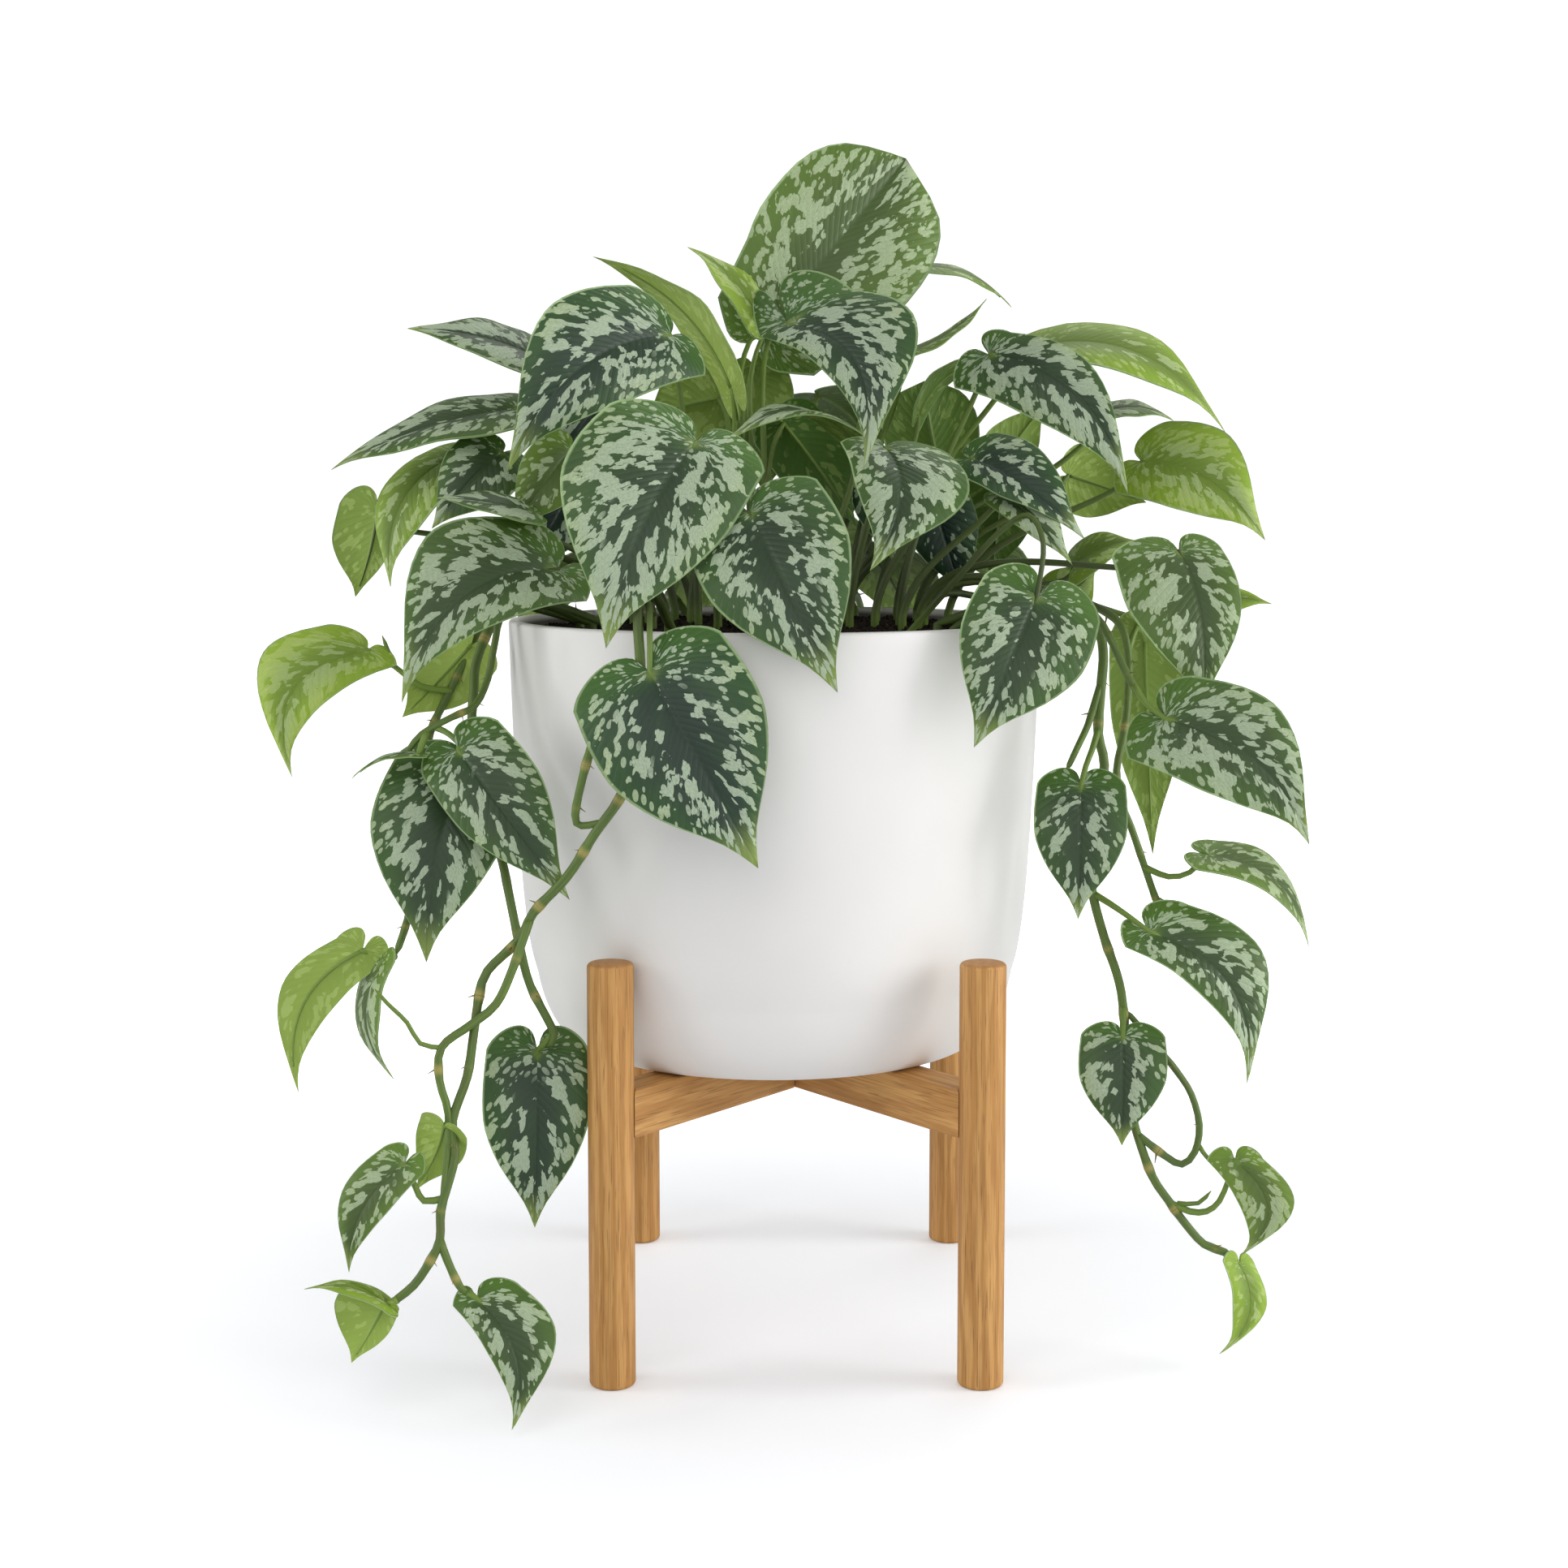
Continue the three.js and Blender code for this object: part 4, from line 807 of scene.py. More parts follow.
# Collects the points, faces and surface readings of one leafy stem.
class Growth:
    def __init__(self):
        self.points, self.faces, self.slots = [], [], []
        self.veins, self.blade, self.kind = [], [], []

    def face(self, corners, skin, veins, blade, kind):
        self.faces.append(corners)
        self.slots.append(skins[skin])
        self.veins += veins
        self.blade += blade
        self.kind += [kind] * len(corners)


# Millimetres across and along the lateral veins, which leave the midrib ever more steeply towards the tip.
# Seed and side move the reading, so that no two half blades carry the same marks.
def veinReadings(leaf, length, across, down, seed):
    half = max(leaf["left"], leaf["right"])
    first, last = foliage["veinSlopes"]
    reach = abs(across)
    bent = down - 0.3 * reach ** 2 / half
    if bent < first * reach:
        turn = math.atan2(reach, bent) - math.atan2(1, first)
        u, v = -turn * 0.33 * length, math.hypot(reach, bent)
    else:
        p = (bent - first * reach) / (length + (last - first) * reach)
        slope = first + (last - first) * min(max(p, 0), 1)
        spread = (length + (last - first) * 0.4 * half) / (last - first)
        u, v = spread * (math.asinh(slope) - math.asinh(first)), reach * math.sqrt(1 + slope ** 2)
    return u + 137.3 * seed + (61.7 if across > 0 else 0), v + 31.1 * (seed % 9)


# The blade's middle surface by rows from sinus to tip and columns from margin to margin: its points, the
# offset to each skin, the distance from the midrib, the share of the length and the columns' shares of the
# half width.
def bladeSurface(leaf, axes, seed):
    length = axes["length"]
    outline = roundHeart if leaf.get("full") else heart
    rows = np.array(smoothPath([np.array(row, float) for row in outline], foliage["rowSteps"]))
    rows[:, 2] = np.clip(rows[:, 2], 0, 1)
    shares = [-s for s in reversed(foliage["shares"])] + [0.0] + list(foliage["shares"])
    signs, v = np.sign(shares), np.abs(shares)
    onRib, reach, width = (rows[:, k:k + 1] for k in range(3))
    onMargin = np.where(reach < 0, reach * leaf.get("lobe", foliage["lobe"]), reach)
    half = width * np.where(signs < 0, leaf["left"], leaf["right"])
    t = onRib * (1 - v) + onMargin * v
    rng = random.Random(seed * 71 + 3)
    phases = [rng.uniform(0, 6.28) for _ in range(2)]
    counts = [rng.uniform(*foliage["waveCounts"]) for _ in range(2)]
    phase = np.where(signs < 0, phases[0], phases[1])
    count = np.where(signs < 0, counts[0], counts[1])
    calmEnds = np.sin(np.pi * np.clip(t, 0, 1)) ** 0.5
    wave = foliage["wave"] * length * v ** 2 * np.sin(6.28 * count * t + phase) * calmEnds
    lift = half * (foliage["fold"] * v - foliage["cup"] * v ** 2) + wave
    flat = v * signs * half
    middle = ribPoint(leaf, axes, t) + axes["side"] * flat[..., None] + axes["normal"] * lift[..., None]
    thin = foliage["rimThickness"] + (foliage["bladeThickness"] - foliage["rimThickness"]) * (1 - v ** 8)
    thin = np.broadcast_to(thin, t.shape) * np.clip(1.3 - np.abs(t), 0.5, 1)
    return middle, axes["normal"] * (thin / 2)[..., None], flat, t, v


# A leaf blade of two skins, joined along the margin. The first and the last row are one point each.
def addBlade(growth, leaf, seed):
    axes = leafFrame(leaf)
    middle, offset, flat, t, v = bladeSurface(leaf, axes, seed)
    rowCount, columns = t.shape
    start = len(growth.points)
    for skin in (middle + offset, middle - offset):
        growth.points.append(skin[0, 0])
        for row in range(1, rowCount - 1):
            growth.points += list(skin[row])
        growth.points.append(skin[-1, 0])
    layer = 2 + (rowCount - 2) * columns

    def index(row, column):
        if row == 0:
            return start
        if row == rowCount - 1:
            return start + layer - 1
        return start + 1 + (row - 1) * columns + column

    kind = (leaf["tone"], leaf["silver"])
    down = t * axes["length"]
    pointShare = 0.8 if leaf.get("full") else 1.0  # a round leaf has no pale point

    def reading(row, column, sideSign):
        across = flat[row, column] if abs(flat[row, column]) > 1e-6 else 1e-6 * sideSign
        return veinReadings(leaf, axes["length"], across, down[row, column], seed)

    for row in range(rowCount - 1):
        for column in range(columns - 1):
            sideSign = -1 if column < columns // 2 else 1
            corners = {}
            for spot in ((row, column), (row, column + 1), (row + 1, column + 1), (row + 1, column)):
                corners.setdefault(index(*spot), spot)
            if len(corners) < 3:
                continue
            veins = [reading(*spot, sideSign) for spot in corners.values()]
            blade = [(v[spot[1]], t[spot] * pointShare) for spot in corners.values()]
            growth.face(list(corners)[::-1], "top", veins[::-1], blade[::-1], kind)
            growth.face([number + layer for number in corners], "under", veins, blade, kind)
    edge = [(row, 0) for row in range(rowCount)] + [(row, columns - 1) for row in range(rowCount - 2, 0, -1)]
    for spot, following in zip(edge, edge[1:] + edge[:1]):
        a, b = index(*spot), index(*following)
        growth.face([a, b, b + layer, a + layer], "under", [(0, 0)] * 4, [(1.0, 0.5)] * 4, kind)


# A closed round stem along a path. Knots is read at each ring of the path, young and tone are for the whole.
def addTube(growth, path, radii, sides, knots, young, tone):
    points = np.array(path)
    start = len(growth.points)
    last = len(points) - 1
    travelled = pathLengths(path)
    side = np.zeros(3)
    for i, spot in enumerate(points):
        ahead = unit(points[min(i + 1, last)] - points[max(i - 1, 0)])
        if i == 0:
            side = np.array((1.0, 0, 0)) if abs(ahead[0]) < 0.8 else np.array((0, 1.0, 0))
        side = unit(side - ahead * side.dot(ahead))
        up = np.cross(ahead, side)
        for k in range(sides):
            turn = 2 * math.pi * k / sides
            growth.points.append(spot + (side * math.cos(turn) + up * math.sin(turn)) * radii[i])
    seam = 2 * math.pi * float(np.max(radii))
    kind = (tone, 0.0)
    for i in range(last):
        low, high = start + i * sides, start + (i + 1) * sides
        near, far = (knots[i], young), (knots[i + 1], young)
        for k in range(sides):
            n = (k + 1) % sides
            left, right = seam * k / sides, seam * (k + 1) / sides
            now, then = travelled[i], travelled[i + 1]
            veins = [(left, now), (right, now), (right, then), (left, then)]
            growth.face([low + k, low + n, high + n, high + k], "stem", veins, [near, near, far, far], kind)
    for ring, order in ((0, -1), (last, 1)):
        corners = [start + ring * sides + k for k in range(sides)][::order]
        growth.face(corners, "stem", [(0, travelled[ring])] * sides, [(knots[ring], young)] * sides, kind)


# The stalk of a leaf: along its drawn points or in a free curve from the foot of the stem.
def addStalk(growth, leaf, foot, first):
    axes = leafFrame(leaf)
    base = axes["base"]
    inside = ribPoint(leaf, axes, 0.06)
    buried = foot - (0, 0, foliage["rootDepth"])
    if "stalk" in leaf:
        start = [buried, foot] if leaf.get("rooted") else []
        path = [*start, *smoothPath([*map(carry, leaf["stalk"]), base]), inside]
        radii = np.linspace(stalks["radius"], stalks["end"], len(path))
    else:
        clear = foot + (0, 0, 6)
        reach = float(np.linalg.norm(base - clear))
        nearRoot = clear + (base - clear) * 0.12
        nearRoot[2] = clear[2] + 0.4 * reach
        arrive = axes["normal"] * 0.4 + axes["along"] * 0.3 + (0, 0, 0.6)
        nearLeaf = base - unit(arrive) * 0.28 * reach
        curve = [clear * (1 - t) ** 3 + nearRoot * 3 * t * (1 - t) ** 2 + nearLeaf * 3 * t * t * (1 - t)
                 + base * t ** 3 for t in np.linspace(0, 1, max(8, round(reach / 5)))]
        path = [*([buried] if first else []), *curve, inside]
        radii = np.linspace(stalks["foot"], stalks["end"], len(path))
    length = pathLengths(path)
    knee = np.exp(-((length[-1] - length - stalks["kneeBack"]) / stalks["kneeLength"]) ** 2)
    radii = radii * (1 + stalks["knee"] * knee)
    radii[-1] = stalks["inLeaf"]
    # the stalk turns paler with its leaf's tone, so it carries the same painted light
    addTube(growth, path, radii, stalks["sides"], knee * 0.25, 0.55 + 0.4 * leaf["tone"], leaf["tone"])
    addMidrib(growth, leaf, axes)


# The midrib, which stands proud under the blade.
def addMidrib(growth, leaf, axes):
    count = midribs["points"]
    rib = ribPoint(leaf, axes, np.linspace(*midribs["reach"], count)) - axes["normal"] * midribs["drop"]
    radii = np.linspace(*midribs["radii"], count) * min(1.0, 0.45 + axes["length"] / 130)
    addTube(growth, rib, radii, midribs["sides"], np.zeros(count), 0.85, leaf["tone"])


# A vine with swollen rings at its knots and a rounded end. It notes where a little root stands at each knot:
# the point and the root's direction.
def addVine(growth, vine, foot, rng, knots):
    rooted = vine.get("rooted", False)
    radius = vine.get("radius", vineForm["radius"])
    path = smoothPath([*([foot + (0, 0, 4)] if rooted else []), *map(carry, vine["points"])])
    if rooted:
        path = [foot - (0, 0, foliage["rootDepth"]), *path]
    lengths = pathLengths(path)
    spots, at = [], vineForm["firstKnot" if rooted else "firstFree"] + rng.uniform(0, 8)
    while at < lengths[-1] - vineForm["lastKnot"]:
        spots.append(at)
        at += vineForm["knotSpacing"] * rng.uniform(0.75, 1.25)
    slim = radius <= vineForm["slim"]
    if slim:
        spots, sides, young = [], vineForm["slimSides"], 0.65
    else:
        sides, young = vineForm["sides"], 0.15 + 0.2 * rng.random()
    rings = np.zeros(len(path))
    for spot in spots:
        rings = np.maximum(rings, np.exp(-((lengths - spot) / vineForm["knotLength"]) ** 2))
    share = np.arange(len(path)) / (len(path) - 1)
    end = radius * vineForm["endShare"]
    radii = (radius + (end - radius) * share) * (1 + vineForm["knotSwell"] * rings)
    left = np.clip((lengths[-1] - lengths) / vineForm["roundEnd"], 0, 1)
    radii = radii * np.sqrt(np.clip(1 - (1 - left) ** 2, 0.03, 1))
    addTube(growth, path, radii, sides, rings, young, 0.3)
    for spot in spots:
        i = int(np.argmin(np.abs(lengths - spot)))
        ahead = unit(path[min(i + 1, len(path) - 1)] - path[i - 1])
        out = np.array([rng.uniform(-1, 1) for _ in range(3)])
        out = unit(out - ahead * out.dot(ahead))
        knots.append((path[i] + out * radius * 0.8, unit(out + ahead * 0.5)))


# Presses the outermost millimetres in, so that no wavy margin or tip stands outside the CAD box.
def insideBox(points, reach=6.0, over=1.6):
    low, high = (np.array(corner) / metre for corner in cadBox)
    low, high = low + reach, high - reach
    shrink = reach / (reach + over)
    placed = np.array(points)
    placed = np.where(placed < low, low - (low - placed) * shrink, placed)
    return np.where(placed > high, high + (placed - high) * shrink, placed)


def growStem(stem, materials, number, knots):
    growth = Growth()
    east, north = stem["root"]
    foot = np.array((east, north, soilHeight(east, north)))
    rng = random.Random(number * 13 + foliage["seed"])
    for vine in stem["vines"]:
        addVine(growth, vine, foot, rng, knots)
    for i, leaf in enumerate(stem["leaves"]):
        addStalk(growth, leaf, foot, i == 0)
        addBlade(growth, leaf, number * 7 + i)
    piece = addPiece(camel(stem["name"] + "_green"), insideBox(growth.points), growth.faces, materials,
                     faceSlots=growth.slots)
    for layer, values in (("veins", growth.veins), ("blade", growth.blade), ("kind", growth.kind)):
        uv = piece.data.uv_layers.new(name=layer)
        uv.data.foreach_set("uv", [float(c) for pair in values for c in pair])
    piece.data.validate()
    finishPiece(piece, [stem["name"]])


# A leaf from sinus to tip, with its half widths left and right of the midrib, how light a green it is (tone)
# and how much silver it has. The tone is partly the leaf's own green and partly painted light: it makes
# leaves that stand in the light or against it paler and yellower, and leaves in shade darker. Form can hold
# its roll in degrees, arch and bend of the midrib, the depth of the lobes (lobe), a round outline (full), the
# way it faces, and the points of its stalk, which stands on a vine or is rooted in the soil.
def drawLeaf(sinus, tip, left, right, tone, silver, **form):
    return dict(sinus=sinus, tip=tip, left=left, right=right, tone=tone, silver=silver, **form)


# A vine through drawn points. Form can hold its radius and whether it is rooted in the soil.
def drawVine(points, **form):
    return dict(points=points, **form)


# A stem with its root in the soil, named after the node it dresses.
def drawStem(name, root, leaves, vines=()):
    return dict(name=name, root=root, leaves=leaves, vines=vines)


# Upright stems of the crown.
crownStems = [
    drawStem("leafy_stem_top", [-14, 8], leaves=[
        drawLeaf([-9, 467, 26], [57, 549, 50], 44, 40, 0.45, 0.6, full=True, arch=0.06, lobe=0.1, rooted=True,
                 stalk=[[-15, 400, 11], [-16, 440, 16], [-13, 458, 22]]),
        drawLeaf([-14, 452, 34], [-2, 412, 30], 15, 15, 0.5, 0.2, roll=175),
    ]),
    drawStem("leafy_stem_over", [-9, -6], leaves=[
        drawLeaf([2, 469, -24], [37, 399, -80], 15, 35, 0.15, 0.66, bend=0.2, arch=0.09, lobe=0.42,
                 rooted=True, stalk=[[-9, 400, -8], [-10, 440, -11], [-7, 462, -16]]),
        drawLeaf([0, 424, 0], [34, 376, -8], 18, 18, 0.0, 0.1, roll=170),
    ]),
    drawStem("leafy_stem_left_high", [-40, -16], leaves=[
        drawLeaf([-53, 463, -42], [-129, 398, -78], 31, 25, 0.12, 0.58, bend=-0.14, lobe=0.08),
    ]),
    drawStem("leafy_stem_heart", [-30, -46], leaves=[
        drawLeaf([-41, 411, -96], [-83, 314, -130], 43, 34, 0.2, 0.76, bend=-0.06, arch=0.1),
    ]),
    drawStem("leafy_stem_middle", [0, -56], leaves=[
        drawLeaf([-16, 378, -106], [25, 293, -141], 32, 34, 0.18, 0.5),
    ]),
    drawStem("leafy_stem_right_front", [30, -38], leaves=[
        drawLeaf([47, 410, -60], [40, 351, -108], 21, 31, 0.25, 0.7, bend=0.13, arch=0.1),
    ]),
    drawStem("leafy_stem_pale", [-26, -4], leaves=[
        drawLeaf([-24, 439, -14], [-89, 501, -8], 22, 24, 0.9, 0.2, roll=-110, arch=0.13, rooted=True,
                 stalk=[[-24, 400, -6], [-23, 425, -10]]),
    ]),
    drawStem("leafy_stem_small_top", [-22, 18], leaves=[
        drawLeaf([-11, 471, 3], [-45, 506, 5], 18, 18, 0.9, 0.4, roll=-65, arch=0.1, rooted=True,
                 stalk=[[-22, 400, 16], [-20, 450, 6]]),
    ]),
    drawStem("leafy_stem_back_right_high", [24, 33], leaves=[
        drawLeaf([62, 499, 68], [107, 481, 70], 15, 15, 0.65, 0.3, roll=80, arch=0.12),
    ]),
    drawStem("leafy_stem_right_wing", [20, 16], leaves=[
        drawLeaf([56, 456, 16], [95, 483, 20], 16, 16, 0.6, 0.3, roll=80, arch=-0.08),
    ]),
    drawStem("leafy_stem_arch", [14, -22], leaves=[
        drawLeaf([33, 415, -24], [-28, 412, -62], 20, 20, 0.35, 0.6, roll=-78, arch=0.2),
    ]),
    drawStem("leafy_stem_right_high", [54, -10], leaves=[
        drawLeaf([96, 455, -20], [161, 389, -52], 23, 15, 0.2, 0.88, bend=0.16, lobe=0.12),
    ]),
    drawStem("leafy_stem_right_reach", [44, 14], leaves=[
        drawLeaf([114, 459, 6], [207, 419, -14], 24, 24, 0.85, 0.05, roll=58, arch=0.2),
    ]),
    drawStem("leafy_stem_right_edge", [78, 8], leaves=[
        drawLeaf([168, 406, -6], [226, 368, -34], 20, 25, 0.95, 0.7, roll=10, bend=0.1),
    ]),
    drawStem("leafy_stem_right_dark", [42, -26], leaves=[
        drawLeaf([87, 406, -36], [141, 367, -66], 12, 20, 0.1, 0.4, roll=25, arch=0.15),
    ]),
    drawStem("leafy_stem_right_low", [54, -40], leaves=[
        drawLeaf([101, 389, -46], [135, 355, -72], 8, 13, 0.35, 0.8, roll=20),
    ]),
    drawStem("leafy_stem_right_green", [30, 2], leaves=[
        drawLeaf([63, 428, 12], [99, 455, 14], 18, 18, 0.2, 0.2, roll=105, arch=0.17),
        drawLeaf([42, 402, 8], [52, 358, 2], 13, 15, 0.0, 0.2),
    ]),
    drawStem("leafy_stem_right_inner", [30, 30], leaves=[
        drawLeaf([74, 402, 38], [66, 446, 54], 24, 24, 0.15, 0.0, full=True, roll=170),
        drawLeaf([100, 401, 46], [125, 437, 56], 15, 15, 0.5, 0.0, roll=160),
        drawLeaf([70, 390, 20], [84, 344, 21], 16, 18, 0.0, 0.0, arch=0.03),
        drawLeaf([102, 397, 30], [98, 352, 24], 17, 17, 0.1, 0.0, roll=175),
    ]),
    drawStem("leafy_stem_right_under", [64, 24], leaves=[
        drawLeaf([134, 401, 34], [171, 388, 28], 17, 17, 0.8, 0.2, roll=175),
        drawLeaf([151, 430, 14], [183, 426, 16], 12, 12, 0.5, 0.5, roll=70),
    ]),
    drawStem("leafy_stem_left_under", [-44, 2], leaves=[
        drawLeaf([-31, 437, 30], [-66, 426, 16], 22, 22, 0.55, 0.3, roll=-160),
    ]),
    drawStem("leafy_stem_left_dark", [-70, -16], leaves=[
        drawLeaf([-132, 409, -32], [-165, 373, -50], 18, 18, 0.25, 0.3, roll=-15),
        drawLeaf([-84, 436, -24], [-108, 402, -32], 15, 15, 0.1, 0.2),
        drawLeaf([-98, 394, -26], [-122, 350, -40], 16, 16, 0.0, 0.3),
    ]),
    drawStem("leafy_stem_left_wing", [-52, 12], leaves=[
        drawLeaf([-116, 455, 8], [-176, 468, -4], 22, 22, 0.25, 0.75, roll=-62, arch=0.06),
    ]),
    drawStem("leafy_stem_left_reach", [-64, 0], leaves=[
        drawLeaf([-123, 430, -14], [-212, 401, -36], 26, 26, 0.3, 0.65, roll=-66, arch=0.06),
    ]),
    drawStem("leafy_stem_left_green", [-80, 10], leaves=[
        drawLeaf([-153, 409, -8], [-185, 346, -34], 17, 21, 0.8, 0.35, roll=-40, bend=-0.1, arch=0.15),
        drawLeaf([-191, 382, -6], [-202, 342, -18], 9, 20, 0.6, 0.3, roll=165, lobe=0.25),
    ]),
    drawStem("leafy_stem_left_flat", [-60, -38], leaves=[
        drawLeaf([-118, 380, -64], [-162, 386, -80], 17, 17, 0.3, 0.7, roll=-70, arch=0.03),
        drawLeaf([-100, 410, -46], [-128, 372, -54], 15, 15, 0.55, 0.3),
    ]),
    drawStem("leafy_stem_left_low", [-52, -56], leaves=[
        drawLeaf([-106, 353, -72], [-179, 289, -108], 32, 20, 0.3, 0.68, bend=-0.19),
    ]),
    drawStem("leafy_stem_right_back", [66, -4], leaves=[
        drawLeaf([137, 357, 6], [167, 369, 0], 18, 18, 0.8, 0.3, roll=60),
        drawLeaf([128, 338, 20], [148, 358, 16], 14, 14, 0.8, 0.3, roll=10),
    ]),
    drawStem("leafy_stem_right_fold", [62, -26], leaves=[
        drawLeaf([185, 362, -58], [196, 286, -86], 32, 20, 0.38, 0.52, roll=10, bend=0.05),
        drawLeaf([194, 338, -15], [230, 338.5, -24], 9, 9, 0.9, 0.1, roll=40),
    ]),
    drawStem("leafy_stem_right_heart", [56, -56], leaves=[
        drawLeaf([118, 339, -96], [89, 268, -118], 26, 31, 0.22, 0.5, lobe=0.2, rooted=True,
                 stalk=[[80, 348, -62], [100, 370, -70], [114, 378, -80], [121, 364, -92]]),
    ]),
]

